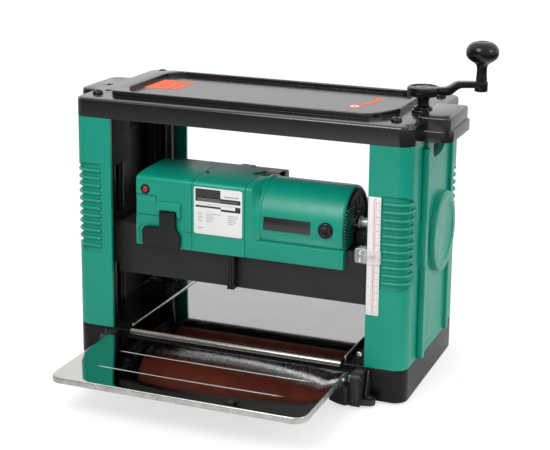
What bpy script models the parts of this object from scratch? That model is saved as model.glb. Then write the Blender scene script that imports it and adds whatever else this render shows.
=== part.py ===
"""Portable bench-top thickness planer.

Two side housings stand on a cast base and carry a top cover.  Between them a
carriage rides on four guide columns; it holds the motor, the cutterhead and
the two feed rollers.  A crank on the cover turns the right lead screw, a
chain under the base turns the left one with it, and both lift the carriage.
Infeed and outfeed tables fold up about rods in front of and behind the bed.

Units are metres in Blender; the numbers below are millimetres.
Frame: X to the right of the operator, Y in the feed direction (front is -Y), Z up.
Origin: bottom centre of the whole machine's box, crank included.  The layout
below is drawn about the middle of the bed, and is moved over at the end.
"""

import math

import bmesh
import bpy
from mathutils import Matrix, Vector

MM = 0.001
GAP = 0.3  # clearance between pieces that touch
MACHINE_MIDDLE_X = 26.7  # the origin's place in the layout
TOOL = None  # given as a material, it makes a hidden helper for a boolean
SIDES = (("left", -1), ("right", 1))
ENDS = (("front", -1), ("rear", 1))

# ------------------------------------------------------------ driving sizes
# X and Y sizes named after a part are half widths and half depths.
BODY_X, BODY_Y = 261.0, 132.0
CORNER_R = 20.0
HOUSING_IN_X = 200.4  # inner edge of the housings
BASE_LOW, BASE_TOP = 3.0, 52.0
HOUSING_LOW, HOUSING_TOP = BASE_TOP + GAP, 375.7
COVER_LOW, COVER_TOP = 376.0, 404.0

COLUMN_X, COLUMN_Y, COLUMN_R = 222.0, 100.0, 11.0
SCREW_X, SCREW_Y, SCREW_R = 244.0, -24.0, 7.0

BED_TOP, BED_X, BED_Y = 58.6, 167.6, 132.0
TABLE_TOP, TABLE_X = 57.0, 188.0
TABLE_NEAR, TABLE_FAR = 172.0, 342.0  # distances from the middle of the bed
TABLE_SKIRT = 11.0
PIVOT_Y, PIVOT_Z, PIVOT_R = 158.0, 43.0, 3.7

CARR_LOW, CARR_TOP = 138.0, 215.0
CARR_X, CARR_Y = 198.0, 115.0
CARR_FRONT = -CARR_Y - GAP  # back of the pieces on the carriage's front
CARR_DECK = CARR_TOP + GAP  # underside of the pieces on the carriage
CARR_CEILING = 208.0

CUT_Z, CUT_R, KNIFE_R = 162.5, 24.0, 25.5
CUT_SHAFT_R = 10.0
ROLL_Y, ROLL_Z, ROLL_R = 62.0, 153.0, 16.5
ROLL_SHAFT_R = 8.0
MOTOR_Y, MOTOR_Z = -60.0, 242.0  # motor shaft
MOTOR_SHAFT_R = 6.0
SHELL_Y, SHELL_Z, SHELL_R = -71.0, 240.0, 59.0  # round motor end
FACE_Y = -130.0  # front face of the motor housings
SEAM_X = 14.7  # between the two motor housings

# ------------------------------------------------------------- empty scene
for old in list(bpy.data.objects):
    bpy.data.objects.remove(old, do_unlink=True)

planer = bpy.data.collections.new("thickness_planer")
cutters = bpy.data.collections.new("cutters")
bpy.context.scene.collection.children.link(planer)
bpy.context.scene.collection.children.link(cutters)


# --------------------------------------------------------------- materials
def material(name, colour, roughness, metallic=0.0, alpha=1.0):
    made = bpy.data.materials.new(name)
    made.use_nodes = True
    shader = made.node_tree.nodes["Principled BSDF"]
    shader.inputs["Base Color"].default_value = (*colour, 1.0)
    shader.inputs["Roughness"].default_value = roughness
    shader.inputs["Metallic"].default_value = metallic
    shader.inputs["Alpha"].default_value = alpha
    made.diffuse_color = (*colour, alpha)
    return made


green = material("green_plastic", colour=(0.006, 0.235, 0.155), roughness=0.42)
black = material("black_plastic", colour=(0.012, 0.011, 0.011), roughness=0.45)
cast = material("black_cast_alloy", colour=(0.020, 0.018, 0.018), roughness=0.55, metallic=0.2)
sheet = material("black_sheet_steel", colour=(0.014, 0.013, 0.013), roughness=0.4, metallic=0.3)
mirror = material("mirror_steel", colour=(0.86, 0.86, 0.87), roughness=0.06, metallic=1.0)
chrome = material("chrome", colour=(0.8, 0.8, 0.82), roughness=0.12, metallic=1.0)
steel = material("machined_steel", colour=(0.45, 0.45, 0.46), roughness=0.32, metallic=1.0)
aluminium = material("cutter_aluminium", colour=(0.7, 0.7, 0.72), roughness=0.3, metallic=1.0)
copper = material("copper_windings", colour=(0.55, 0.22, 0.08), roughness=0.4, metallic=0.8)
rubber = material("black_rubber", colour=(0.015, 0.015, 0.015), roughness=0.8)
red_rubber = material("red_brown_rubber", colour=(0.22, 0.035, 0.015), roughness=0.6)
white = material("white_scale", colour=(0.82, 0.82, 0.8), roughness=0.5)
red = material("red_button", colour=(0.5, 0.01, 0.015), roughness=0.3)
clear = material("clear_plastic", colour=(0.9, 0.92, 0.93), roughness=0.1, alpha=0.35)
gloss = material("gloss_black_plastic", colour=(0.010, 0.010, 0.010), roughness=0.22)

# ------------------------------------------------------------ solid helpers
# Turns a piece drawn along Z to lie along another axis.
TURN = {
    "x": Matrix.Rotation(math.radians(90), 4, "Y"),
    "y": Matrix.Rotation(math.radians(-90), 4, "X"),
    "-y": Matrix.Rotation(math.radians(90), 4, "X"),
    "z": Matrix.Identity(4),
}
# Lays an outline and its sweep, local x, y and z, in the world axes.
PLANES = {
    "xy": Matrix(((1, 0, 0, 0), (0, 1, 0, 0), (0, 0, 1, 0), (0, 0, 0, 1))),
    "yz": Matrix(((0, 0, 1, 0), (1, 0, 0, 0), (0, 1, 0, 0), (0, 0, 0, 1))),
    "xz": Matrix(((1, 0, 0, 0), (0, 0, -1, 0), (0, 1, 0, 0), (0, 0, 0, 1))),
}


def shift(at):
    """The matrix that moves a piece to a point given in millimetres."""
    return Matrix.Translation(Vector([value * MM for value in at]))


def mirrored(sign, low, high):
    """A range given for the positive side, taken over to the side of the sign."""
    return (low, high) if sign > 0 else (-high, -low)


def finish(name, shape, mat):
    """Turns a bmesh into a named object of the planer, or into a tool."""
    bmesh.ops.recalc_face_normals(shape, faces=shape.faces)
    mesh = bpy.data.meshes.new(name)
    shape.to_mesh(mesh)
    shape.free()
    obj = bpy.data.objects.new(name, mesh)
    if mat is TOOL:
        cutters.objects.link(obj)
        obj.hide_render = True
        obj.display_type = "WIRE"
    else:
        planer.objects.link(obj)
        mesh.materials.append(mat)
        mesh.shade_smooth()
        mesh.set_sharp_from_angle(angle=math.radians(35))
    return obj


def add_box(shape, x, y, z, radius=0.0, along="z", segments=4, top=0.0):
    """A box from (low, high) pairs; radius rounds its edges along one axis, top its top rim."""
    centre = [(low + high) / 2 for low, high in (x, y, z)]
    size = [(high - low) * MM for low, high in (x, y, z)]
    before = set(shape.verts)
    bmesh.ops.create_cube(shape, size=1.0, matrix=shift(centre) @ Matrix.Diagonal((*size, 1.0)))
    axis = "xyz".index(along)
    if radius:
        mine = set(shape.verts) - before
        edges = [
            edge
            for edge in shape.edges
            if edge.verts[0] in mine
            and abs((edge.verts[0].co - edge.verts[1].co)[axis]) > size[axis] * 0.99
        ]
        bmesh.ops.bevel(
            shape, geom=edges, offset=radius * MM, segments=segments, profile=0.5, affect="EDGES"
        )
    if top:
        level = z[1] * MM
        mine = set(shape.verts) - before
        edges = [
            edge
            for edge in shape.edges
            if edge.verts[0] in mine
            and all(abs(vert.co.z - level) < 1e-6 for vert in edge.verts)
            and any(abs(face.normal.z) < 0.5 for face in edge.link_faces)
        ]
        bmesh.ops.bevel(
            shape, geom=edges, offset=top * MM, segments=2, profile=0.5, affect="EDGES"
        )


def box(name, mat, x, y, z, radius=0.0, along="z", segments=4, top=0.0):
    shape = bmesh.new()
    add_box(shape, x, y, z, radius, along, segments, top)
    return finish(name, shape, mat)


def box_tools(name, specs):
    """One tool made of several separate boxes: (x, y, z) ranges."""
    shape = bmesh.new()
    for x, y, z in specs:
        add_box(shape, x, y, z)
    return finish(name, shape, TOOL)


def add_rod(shape, at, radius, length, along, segments):
    """A cylinder centred on a point."""
    bmesh.ops.create_cone(
        shape,
        cap_ends=True,
        cap_tris=False,
        segments=segments,
        radius1=radius * MM,
        radius2=radius * MM,
        depth=length * MM,
        matrix=shift(at) @ TURN[along],
    )


def rod(name, mat, at, radius, length, along="z", segments=32):
    shape = bmesh.new()
    add_rod(shape, at, radius, length, along, segments)
    return finish(name, shape, mat)


def rod_tools(name, centres, radius, length, along="z", segments=24):
    """One tool made of several separate equal cylinders."""
    shape = bmesh.new()
    for at in centres:
        add_rod(shape, at, radius, length, along, segments)
    return finish(name, shape, TOOL)


def prism(name, mat, outlines, low, high, plane="xy", place=None):
    """A flat outline (with holes, if more than one) swept between two world levels."""
    curve = bpy.data.curves.new(name, "CURVE")
    curve.dimensions = "2D"
    curve.fill_mode = "BOTH"
    curve.extrude = abs(high - low) / 2 * MM
    for outline in outlines:
        spline = curve.splines.new("POLY")
        spline.points.add(len(outline) - 1)
        for point, (x, y) in zip(spline.points, outline):
            point.co = (x * MM, y * MM, 0.0, 1.0)
        spline.use_cyclic_u = True
    guide = bpy.data.objects.new(name + "_outline", curve)
    cutters.objects.link(guide)
    bpy.context.view_layer.update()
    graph = bpy.context.evaluated_depsgraph_get()
    mesh = bpy.data.meshes.new_from_object(guide.evaluated_get(graph))
    bpy.data.objects.remove(guide, do_unlink=True)
    middle = (low + high) / 2
    centre = {"xy": (0, 0, middle), "yz": (middle, 0, 0), "xz": (0, middle, 0)}[plane]
    moved = shift(centre) @ PLANES[plane]
    mesh.transform(moved if place is None else place @ moved)
    shape = bmesh.new()
    shape.from_mesh(mesh)
    bpy.data.meshes.remove(mesh)
    bmesh.ops.remove_doubles(shape, verts=shape.verts, dist=1e-6)
    bmesh.ops.dissolve_limit(
        shape, angle_limit=math.radians(0.5), verts=shape.verts, edges=shape.edges
    )
    return finish(name, shape, mat)


def turned(name, mat, profile, at, along, steps):
    """A turned piece: its profile (radius, height) runs from the top down the outside."""
    shape = bmesh.new()
    verts = [shape.verts.new((radius * MM, 0.0, height * MM)) for radius, height in profile]
    for pair in zip(verts, verts[1:]):
        shape.edges.new(pair)
    mesh = bpy.data.meshes.new(name)
    shape.to_mesh(mesh)
    shape.free()
    mesh.materials.append(mat)
    obj = bpy.data.objects.new(name, mesh)
    planer.objects.link(obj)
    obj.matrix_world = shift(at) @ TURN[along]
    spin = obj.modifiers.new("turn", "SCREW")
    spin.steps = steps
    spin.render_steps = steps
    spin.use_merge_vertices = True
    spin.merge_threshold = 0.000001
    spin.use_normal_calculate = False
    spin.use_smooth_shade = True
    return obj


def boolean(obj, other, operation):
    step = obj.modifiers.new(operation.lower(), "BOOLEAN")
    step.operation = operation
    step.solver = "EXACT"
    step.object = other


def cut(obj, *tools):
    for tool in tools:
        boolean(obj, tool, "DIFFERENCE")


def fuse(obj, *tools):
    for tool in tools:
        boolean(obj, tool, "UNION")


def hang(name, at, *pieces):
    """Parents the pieces that turn or slide together to an empty on their joint."""
    empty = bpy.data.objects.new(name, None)
    empty.empty_display_size = 0.03
    empty.location = [value * MM for value in at]
    planer.objects.link(empty)
    for piece in pieces:
        piece.parent = empty
        piece.matrix_parent_inverse = Matrix.Translation(-Vector(empty.location))


# ---------------------------------------------------------------- outlines
def arc(centre, radius, start, end, count):
    """Points of an arc; angles in degrees."""
    return [
        (
            centre[0] + radius * math.cos(math.radians(angle)),
            centre[1] + radius * math.sin(math.radians(angle)),
        )
        for angle in (start + (end - start) * i / count for i in range(count + 1))
    ]


def circle(centre, radius, count):
    return arc(centre, radius, 0, 360, count)[:-1]


def rounded(x, y, radius, count=4):
    """The outline of a rounded rectangle."""
    return (
        arc((x[1] - radius, y[0] + radius), radius, -90, 0, count)
        + arc((x[1] - radius, y[1] - radius), radius, 0, 90, count)
        + arc((x[0] + radius, y[1] - radius), radius, 90, 180, count)
        + arc((x[0] + radius, y[0] + radius), radius, 180, 270, count)
    )


def toothed(centre, root, tip, teeth=12):
    """The outline of a chain wheel, from its root and tip radii."""
    points = []
    for i in range(teeth):
        base = 2 * math.pi * i / teeth
        for part, radius in ((0.0, root), (0.4, tip), (0.6, tip)):
            angle = base + 2 * math.pi * part / teeth
            points.append(
                (centre[0] + radius * math.cos(angle), centre[1] + radius * math.sin(angle))
            )
    return points


def loop(first, first_radius, second, second_radius, count):
    """The outline of a belt around two wheels."""
    run_x, run_y = second[0] - first[0], second[1] - first[1]
    heading = math.degrees(math.atan2(run_y, run_x))
    lean = math.degrees(math.acos((first_radius - second_radius) / math.hypot(run_x, run_y)))
    return arc(first, first_radius, heading + lean, heading + 360 - lean, count) + arc(
        second, second_radius, heading - lean, heading + lean, count
    )


def band(name, mat, wheels, thickness, count, low, high, plane="yz"):
    """A belt or chain around two wheels, each given as (centre, inner radius of the band)."""
    (first, first_radius), (second, second_radius) = wheels
    outer = loop(first, first_radius + thickness, second, second_radius + thickness, count)
    inner = loop(first, first_radius, second, second_radius, count)
    return prism(name, mat, [outer, inner], low, high, plane)


def wheel(name, outline, centre, shaft_radius, low, high, plane="yz"):
    """A steel wheel with a bore that clears its shaft."""
    bore = circle(centre, shaft_radius + GAP, 16)
    return prism(name, steel, [outline, bore], low, high, plane)


# ============================================================ base and bed
def build_base():
    ceiling = BASE_TOP - 6.0
    frame = box(
        "base_frame", cast, (-BODY_X, BODY_X), (-BODY_Y, BODY_Y), (BASE_LOW, BASE_TOP),
        CORNER_R, segments=5,
    )
    cut(
        frame,
        box("base_hollow_wide", TOOL, (-257.5, 257.5), (-75, 75), (0, ceiling)),
        box("base_hollow_long", TOOL, (-205, 205), (-123, 123), (-1, ceiling)),
        rod_tools(
            "base_screw_holes",
            [(sign * SCREW_X, SCREW_Y, 49) for _, sign in SIDES],
            SCREW_R + 1.5, 20,
        ),
    )


def build_feet():
    foot_x, foot_y, foot_radius = 234, 105, 15.0
    height = BASE_LOW - GAP
    for side, side_sign in SIDES:
        for end, end_sign in ENDS:
            at = (side_sign * foot_x, end_sign * foot_y, height / 2)
            rod(f"{end}_{side}_foot", rubber, at, foot_radius, height, segments=16)


def build_bed():
    """Bed plate: thick sheet with its front and rear edges rolled down."""
    outer, inner = 9.0, 3.0  # radii of the rolled edges
    front, rear = (-BED_Y, BED_TOP - outer), (BED_Y, BED_TOP - outer)
    outline = (
        arc(front, outer, 180, 90, 5)
        + arc(rear, outer, 90, 0, 5)
        + arc(rear, inner, 0, 90, 3)
        + arc(front, inner, 90, 180, 3)
    )
    prism("bed_plate", mirror, [outline], -BED_X, BED_X, "yz")


# ================================================================ housings
HOUSING_WALL = 3.2
FRAME_INSET = 3.6  # from the outside of the housing
FRAME_SHEET = 2.6
HOLLOW_Z, TRIM_Z = (0, 420), (-5, 425)  # right through the housings
TRIM_IN_X = 150  # past the housings' inner edge
HAND_HOLD_Y, HAND_HOLD_Z = (-30, 50), (341, 380)


def build_housing(side, sign):
    shell = box(
        f"{side}_housing", green,
        mirrored(sign, HOUSING_IN_X - 20, BODY_X),
        (-BODY_Y, BODY_Y),
        (HOUSING_LOW, HOUSING_TOP),
        CORNER_R, segments=5,
    )
    cut(
        shell,
        box(
            f"{side}_housing_hollow", TOOL,
            mirrored(sign, TRIM_IN_X, BODY_X - HOUSING_WALL),
            (-BODY_Y + HOUSING_WALL, BODY_Y - HOUSING_WALL),
            HOLLOW_Z,
            CORNER_R - HOUSING_WALL, segments=5,
        ),
        box(
            f"{side}_housing_trim", TOOL,
            mirrored(sign, TRIM_IN_X, HOUSING_IN_X), (-200, 200), TRIM_Z,
        ),
    )
    ribs = (("front", -77, -65), ("rear", 55, 67))  # end, low and high Y
    rib_top, rib_inset = 365, 2
    fuse(
        shell,
        box(
            f"{side}_panel", TOOL,
            mirrored(sign, BODY_X - 2.5, 265.0), (-66.5, 56.5), (HOUSING_LOW, 372.0),
        ),
        *[
            prism(
                f"{side}_{end}_rib", TOOL,
                [rounded((low, high), (38, rib_top), 5.9)],
                sign * (BODY_X + GAP), sign * 270.0, "yz",
            )
            for end, low, high in ribs
        ],
        rod(f"{side}_side_boss", TOOL, (sign * 269.0, 13, 222), 60.0, 10.0, "x", 36),
        # The ribs stand off the housing by a hair over the base, so they bridge
        # to the wall above it.
        *[
            box(
                f"{side}_{end}_rib_root", TOOL,
                mirrored(sign, BODY_X - 2.5, BODY_X + 3),
                (low + rib_inset, high - rib_inset),
                (HOUSING_LOW, rib_top - 3),
            )
            for end, low, high in ribs
        ],
    )
    cut(
        shell,
        box(
            f"{side}_hand_hold", TOOL,
            mirrored(sign, 250, 280), HAND_HOLD_Y, HAND_HOLD_Z, radius=12, along="x",
        ),
    )


def build_side_frame(side, sign):
    """Sheet steel frame lining the housing."""
    inside = FRAME_INSET + FRAME_SHEET
    hold_margin = 2
    frame = box(
        f"{side}_side_frame", sheet,
        mirrored(sign, HOUSING_IN_X + 3, BODY_X - FRAME_INSET),
        (-BODY_Y + FRAME_INSET, BODY_Y - FRAME_INSET),
        (HOUSING_LOW, HOUSING_TOP),
        CORNER_R - FRAME_INSET, segments=5,
    )
    cut(
        frame,
        box(
            f"{side}_side_frame_hollow", TOOL,
            mirrored(sign, TRIM_IN_X, BODY_X - inside),
            (-BODY_Y + inside, BODY_Y - inside),
            HOLLOW_Z,
            CORNER_R - inside, segments=5,
        ),
        box(
            f"{side}_side_frame_trim", TOOL,
            mirrored(sign, TRIM_IN_X, HOUSING_IN_X + 24), (-200, 200), TRIM_Z,
        ),
        box(
            f"{side}_side_frame_hand_hold", TOOL,
            mirrored(sign, 245, 280),
            (HAND_HOLD_Y[0] - hold_margin, HAND_HOLD_Y[1] + hold_margin),
            (HAND_HOLD_Z[0] - hold_margin, HAND_HOLD_Z[1]),
        ),
    )


def build_columns(side, side_sign):
    for end, end_sign in ENDS:
        rod(
            f"{end}_{side}_column", chrome,
            (side_sign * COLUMN_X, end_sign * COLUMN_Y, (BASE_TOP + HOUSING_TOP + GAP) / 2),
            COLUMN_R, HOUSING_TOP - BASE_TOP - GAP, segments=20,
        )


def build_depth_scale():
    """Depth scale, stuck on the front of the right housing."""
    outline = rounded((201.2, 219.6), (131, 303), 1.0, 2)
    back, thickness = -BODY_Y - GAP, 1.2
    prism("depth_scale", white, [outline], back, back - thickness, "xz")


# =============================================================== top cover
# Outer and inner edges of the rim on the cover: (x, y).
RIM_OUT = [
    (-212, -101), (185, -101), (202, -80), (217, -50), (217, 66), (190, 93),
    (-208, 93), (-229, 72), (-229, -72),
]
RIM_IN = [
    (-186, -94), (181, -94), (195, -77), (210, -48), (210, 63), (187, 86),
    (-186, 86), (-204, 66), (-204, -62),
]
COVER_BOLTS = {  # (x, y)
    "front_left": (-242, -91),
    "rear_left": (-232, 106),
    "front_right": (226, -93),
    "rear_right": (236, 104),
}


def build_cover():
    lobe_x, flange_x = 290.0, 302.0
    panel_top, rim_top = 407.5, 412.0
    ceiling = 397.5
    grip_y, grip_z = (-52, 40), (368, 385)
    cover = box(
        "top_cover", black, (-BODY_X, BODY_X), (-BODY_Y, BODY_Y), (COVER_LOW, COVER_TOP),
        CORNER_R, segments=4, top=4.0,
    )
    fuse(
        cover,
        box(
            "cover_lobes", TOOL,
            (-lobe_x, lobe_x), (-63.0, 47.0), (COVER_LOW + 2, COVER_TOP - 0.6),
            radius=16, segments=3, top=3.0,
        ),
        box(
            "cover_flanges", TOOL,
            (-lobe_x + 3, flange_x), (-84.0, 55.0), (COVER_LOW, 391.5),
            radius=20, segments=4, top=2.0,
        ),
        prism("cover_rim", TOOL, [RIM_OUT, RIM_IN], COVER_TOP - 2, rim_top),
        prism("cover_panel", TOOL, [RIM_OUT], COVER_TOP - 3, panel_top),
        rod("crank_boss", TOOL, (SCREW_X, SCREW_Y, 405.0), 16.0, 8.0, segments=24),
    )
    cut(
        cover,
        box("cover_hollow_wide", TOOL, (-252, 252), (-80, 80), (370, ceiling)),
        box("cover_hollow_long", TOOL, (-205, 205), (-124, 124), (369, ceiling)),
        box("cover_grip_left", TOOL, (-283, -266), grip_y, grip_z, radius=6, segments=2),
        box("cover_grip_right", TOOL, (266, 296), grip_y, grip_z, radius=6, segments=2),
        rod("crank_hole", TOOL, (SCREW_X, SCREW_Y, 402), SCREW_R + 0.6, 30),
        rod_tools(
            "cover_bolt_holes",
            [(x, y, 400) for x, y in COVER_BOLTS.values()],
            3.4, 24, segments=12,
        ),
    )


def build_cover_bolts():
    profile = [(0, 7.4), (4.6, 6.6), (6.2, 4.3), (3.0, 4.3), (3.0, -11), (0, -11)]
    for where, (x, y) in COVER_BOLTS.items():
        turned(f"{where}_cover_bolt", black, profile, (x, y, COVER_TOP - 4.0), "z", 12)


# ===================================================== lead screws and lift
SCREW_LOW = 14
LEFT_SCREW_TOP, RIGHT_SCREW_TOP = 370, 426.5
CRANK_ARM_R = 81.7  # from the screw to the knob
# The crank's own frame: on the right screw, X along the arm.
CRANK_PLACE = shift((SCREW_X, SCREW_Y, 0)) @ Matrix.Rotation(math.radians(21.5), 4, "Z")


def lead_screw(side, sign, top):
    at = (sign * SCREW_X, SCREW_Y, (SCREW_LOW + top) / 2)
    return rod(f"{side}_lead_screw", steel, at, SCREW_R, top - SCREW_LOW, segments=16)


def lift_sprocket(side, sign):
    centre = (sign * SCREW_X, SCREW_Y)
    outline = toothed(centre, root=8.7, tip=9.7)
    return wheel(f"{side}_lift_sprocket", outline, centre, SCREW_R, 22, 28, "xy")


def build_lift_chain():
    wheels = [((sign * SCREW_X, SCREW_Y), 10.2) for _, sign in SIDES]
    band("lift_chain", steel, wheels, thickness=2.4, count=8, low=21, high=29, plane="xy")


def crank_handle():
    """A plate hub on the screw, an arm that steps up, and a pin for the knob."""
    arm_end = CRANK_ARM_R + 3.1
    arm_side = [  # (along the arm, z)
        (-24, 430), (-24, 441), (33, 441), (47, 450), (arm_end, 450), (arm_end, 441.2),
        (51, 441), (38, 430),
    ]
    handle = prism("crank_handle", gloss, [arm_side], -8.5, 8.5, "xz", CRANK_PLACE)
    for name, at, radius, length, segments in (
        ("crank_hub", (0, 0, 435.4), 22.3, 13.2, 24),
        ("crank_eye", (CRANK_ARM_R, 0, 443.1), 9.4, 15.1, 16),
        ("crank_pin", (CRANK_ARM_R, 0, 459), 3.0, 40, 12),
        ("crank_neck", (0, 0, 421.7), 9.7, 19.3, 16),
    ):
        part = rod(name, TOOL, at, radius, length, segments=segments)
        part.data.transform(CRANK_PLACE)
        fuse(handle, part)
    socket_at = (SCREW_X, SCREW_Y, 416)
    cut(handle, rod("crank_socket", TOOL, socket_at, SCREW_R + GAP, 22, segments=16))
    return handle


def build_knob():
    centre = CRANK_PLACE @ Vector((CRANK_ARM_R * MM, 0, 0))
    x, y = centre.x / MM, centre.y / MM
    profile = [
        (0, 507), (10, 506.0), (18, 502), (22.5, 496), (23.4, 489),
        (20, 481), (13, 475.5), (8.5, 471), (7, 464), (7, 451),
        (3.4, 451), (3.4, 480), (0, 480),
    ]
    hang("knob_axis", (x, y, 470), turned("crank_knob", gloss, profile, (x, y, 0), "z", 20))


def build_lift_drive():
    hang(
        "crank_axis", (SCREW_X, SCREW_Y, COVER_TOP),
        lead_screw("right", 1, RIGHT_SCREW_TOP), lift_sprocket("right", 1), crank_handle(),
    )
    hang(
        "left_screw_axis", (-SCREW_X, SCREW_Y, COVER_TOP),
        lead_screw("left", -1, LEFT_SCREW_TOP), lift_sprocket("left", -1),
    )
    build_lift_chain()
    build_knob()


# ======================================================== carriage casting
BEARING_R = 16.9


def carriage_casting():
    lug_x = 253.5
    end_wall_x, end_bore = 196, 24  # place and length of the bores in the end walls
    pocket_z, opening_z = (110, 240), (204, 220)
    signs = (-1, 1)
    casting = box(
        "carriage_casting", cast, (-CARR_X, CARR_X), (-CARR_Y, CARR_Y), (CARR_LOW, CARR_TOP),
        radius=2.0, segments=2,
    )
    fuse(
        casting,
        box("carriage_lugs", TOOL, (-lug_x, lug_x), (-114, 114), (152, CARR_CEILING)),
    )
    cut(
        casting,
        box("carriage_hollow", TOOL, (-190, 190), (-106, 106), (120, CARR_CEILING)),
        box_tools(
            "end_pockets",
            [((203, 229.5), (-86, 33), pocket_z), ((-229.5, -203), (-84, 84), pocket_z)],
        ),
        rod_tools(
            "column_bores",
            [(across * COLUMN_X, deep * COLUMN_Y, 180) for across in signs for deep in signs],
            COLUMN_R + GAP, 90,
        ),
        rod_tools(
            "nut_bores",
            [(across * SCREW_X, SCREW_Y, 180) for across in signs],
            SCREW_R + GAP, 90, segments=16,
        ),
        rod_tools(
            "bearing_bores",
            [(across * end_wall_x, 0, CUT_Z) for across in signs],
            BEARING_R + 0.4, end_bore, "x", 20,
        ),
        rod_tools(
            "roller_bores",
            [(across * end_wall_x, deep * ROLL_Y, ROLL_Z) for across in signs for deep in signs],
            ROLL_SHAFT_R + 0.4, end_bore, "x", 16,
        ),
        box_tools(
            "top_openings",
            [((36, 160), (-104, -20), opening_z), ((-160, 160), (24, 96), opening_z)],
        ),
    )
    return casting


def depth_gauge_bar():
    outline = rounded((-13.0, -2.5), (-CARR_Y - 14.5, CARR_FRONT), 2.0, 2)
    return prism("depth_gauge_bar", black, [outline], 138, 188)


def scale_cursor():
    cursor = box(
        "scale_cursor", clear, (184, 222), (-136.4, -134.4), (206, 228),
        radius=2.5, along="y", segments=3,
    )
    fuse(cursor, box("cursor_arm", TOOL, (184, 197.5), (-135.0, CARR_FRONT), (208, 226)))
    return cursor


# ============================================================ feed rollers
def build_roller(name, y):
    profile = [
        (0, 207), (ROLL_SHAFT_R, 207), (ROLL_SHAFT_R, 186), (ROLL_R - 1, 186), (ROLL_R, 185),
        (ROLL_R, -185), (ROLL_R - 1, -186), (ROLL_SHAFT_R, -186), (ROLL_SHAFT_R, -227),
        (0, -227),
    ]
    centre = (y, ROLL_Z)
    hang(
        f"{name}_roller_axis", (0, y, ROLL_Z),
        turned(f"{name}_roller", red_rubber, profile, (0, y, ROLL_Z), "x", 16),
        wheel(
            f"{name}_roller_sprocket", toothed(centre, root=14.0, tip=16.0),
            centre, ROLL_SHAFT_R, -218, -212,
        ),
    )


def feed_chain():
    wheels = [((sign * ROLL_Y, ROLL_Z), 16.7) for _, sign in ENDS]
    return band("feed_chain", steel, wheels, thickness=2.5, count=8, low=-218.5, high=-211.5)


# ==================================================== cutterhead and motor
PULLEY_X = (209, 225)
CUT_PULLEY_R, MOTOR_PULLEY_R = 25.0, 12.5
DRIVE_END_X = 228  # right end of the cutterhead and motor shafts
STATOR_X = 93


def pulley(name, centre, radius, count, shaft_radius):
    return wheel(name, circle(centre, radius, count), centre, shaft_radius, *PULLEY_X)


def build_cutterhead():
    """Cutterhead with two knives let into its body."""
    shaft = CUT_SHAFT_R
    profile = [
        (0, DRIVE_END_X), (shaft, DRIVE_END_X), (shaft, 189.5), (CUT_R, 189), (CUT_R, -189),
        (shaft, -189.5), (shaft, -206), (0, -206),
    ]
    head = turned("cutterhead", aluminium, profile, (0, 0, CUT_Z), "x", 24)
    knives = []
    for i, name in enumerate(("front", "rear")):
        half_turn = shift((0, 0, CUT_Z)) @ Matrix.Rotation(math.pi * i, 4, "X")
        slot = box(f"{name}_knife_slot", TOOL, (-168, 168), (-2.9, 0), (10, 30))
        slot.data.transform(half_turn)
        cut(head, slot)
        knife = box(f"{name}_knife", chrome, (-165, 165), (-2.6, -0.4), (10.4, KNIFE_R))
        knife.data.transform(half_turn)
        knives.append(knife)
    hang(
        "cutterhead_axis", (0, 0, CUT_Z), head, *knives,
        pulley("cutterhead_pulley", (0, CUT_Z), CUT_PULLEY_R, 24, CUT_SHAFT_R),
    )


def cutter_bearing(side, sign):
    centre = (0, CUT_Z)
    outline = circle(centre, BEARING_R, 20)
    return wheel(
        f"{side}_cutter_bearing", outline, centre, CUT_SHAFT_R, sign * 191.0, sign * 202.0
    )


def build_armature():
    shaft = MOTOR_SHAFT_R
    profile = [
        (0, DRIVE_END_X), (shaft, DRIVE_END_X), (shaft, 134), (15, 134), (15, 122), (26, 120),
        (26, 66), (15, 64), (15, 52), (shaft, 50), (shaft, 24), (0, 24),
    ]
    at = (0, MOTOR_Y, MOTOR_Z)
    hang(
        "motor_axis", at,
        turned("motor_armature", steel, profile, at, "x", 16),
        pulley("motor_pulley", (MOTOR_Y, MOTOR_Z), MOTOR_PULLEY_R, 20, MOTOR_SHAFT_R),
    )


def motor_stator():
    at = (STATOR_X, MOTOR_Y, MOTOR_Z)
    stator = rod("motor_stator", copper, at, 40.0, 50, "x", 24)
    cut(stator, rod("stator_bore", TOOL, at, 27.6, 60, "x", 20))
    return stator


def drive_belt():
    """Belt from the motor to the cutterhead, in the right end of the carriage."""
    clearance = 0.9  # between pulley and belt
    wheels = [
        ((0, CUT_Z), CUT_PULLEY_R + clearance),
        ((MOTOR_Y, MOTOR_Z), MOTOR_PULLEY_R + clearance),
    ]
    return band("drive_belt", rubber, wheels, thickness=2.5, count=9, low=210, high=224)


# ========================================================= motor housings
# Section of the switch box and of the block beside it: (y, z).
BOX_SECTION = [
    (FACE_Y, 190), (CARR_FRONT, 190), (CARR_FRONT, CARR_DECK), (-32, CARR_DECK),
    (-32, 299), (-106, 298.6), (-118, 296.8), (-126, 293.2), (FACE_Y, 288),
]
HOLE_Y = FACE_Y + 4  # middle of the holes in the front face
ROOM_Y, ROOM_TOP = (FACE_Y + 4, -36), 288  # hollows of the square housings
RESET_X, RESET_Z = -144.2, 275.3
BRUSH_X, BRUSH_Z, BRUSH_R = 137.8, 245, 11


def round_section():
    """Section of the round motor end, (y, z): a foot on the front, then the arc."""
    foot_top = 217
    front_drop, rear_drop = foot_top - SHELL_Z, CARR_DECK - SHELL_Z
    front_reach = math.sqrt(SHELL_R**2 - front_drop**2)
    rear_reach = math.sqrt(SHELL_R**2 - rear_drop**2)
    start = math.degrees(math.atan2(rear_drop, rear_reach))
    end = 360 + math.degrees(math.atan2(front_drop, -front_reach))
    foot = [(FACE_Y, foot_top), (FACE_Y, 190), (CARR_FRONT, 190), (CARR_FRONT, CARR_DECK)]
    return foot + arc((SHELL_Y, SHELL_Z), SHELL_R, start, end, 26)


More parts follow.
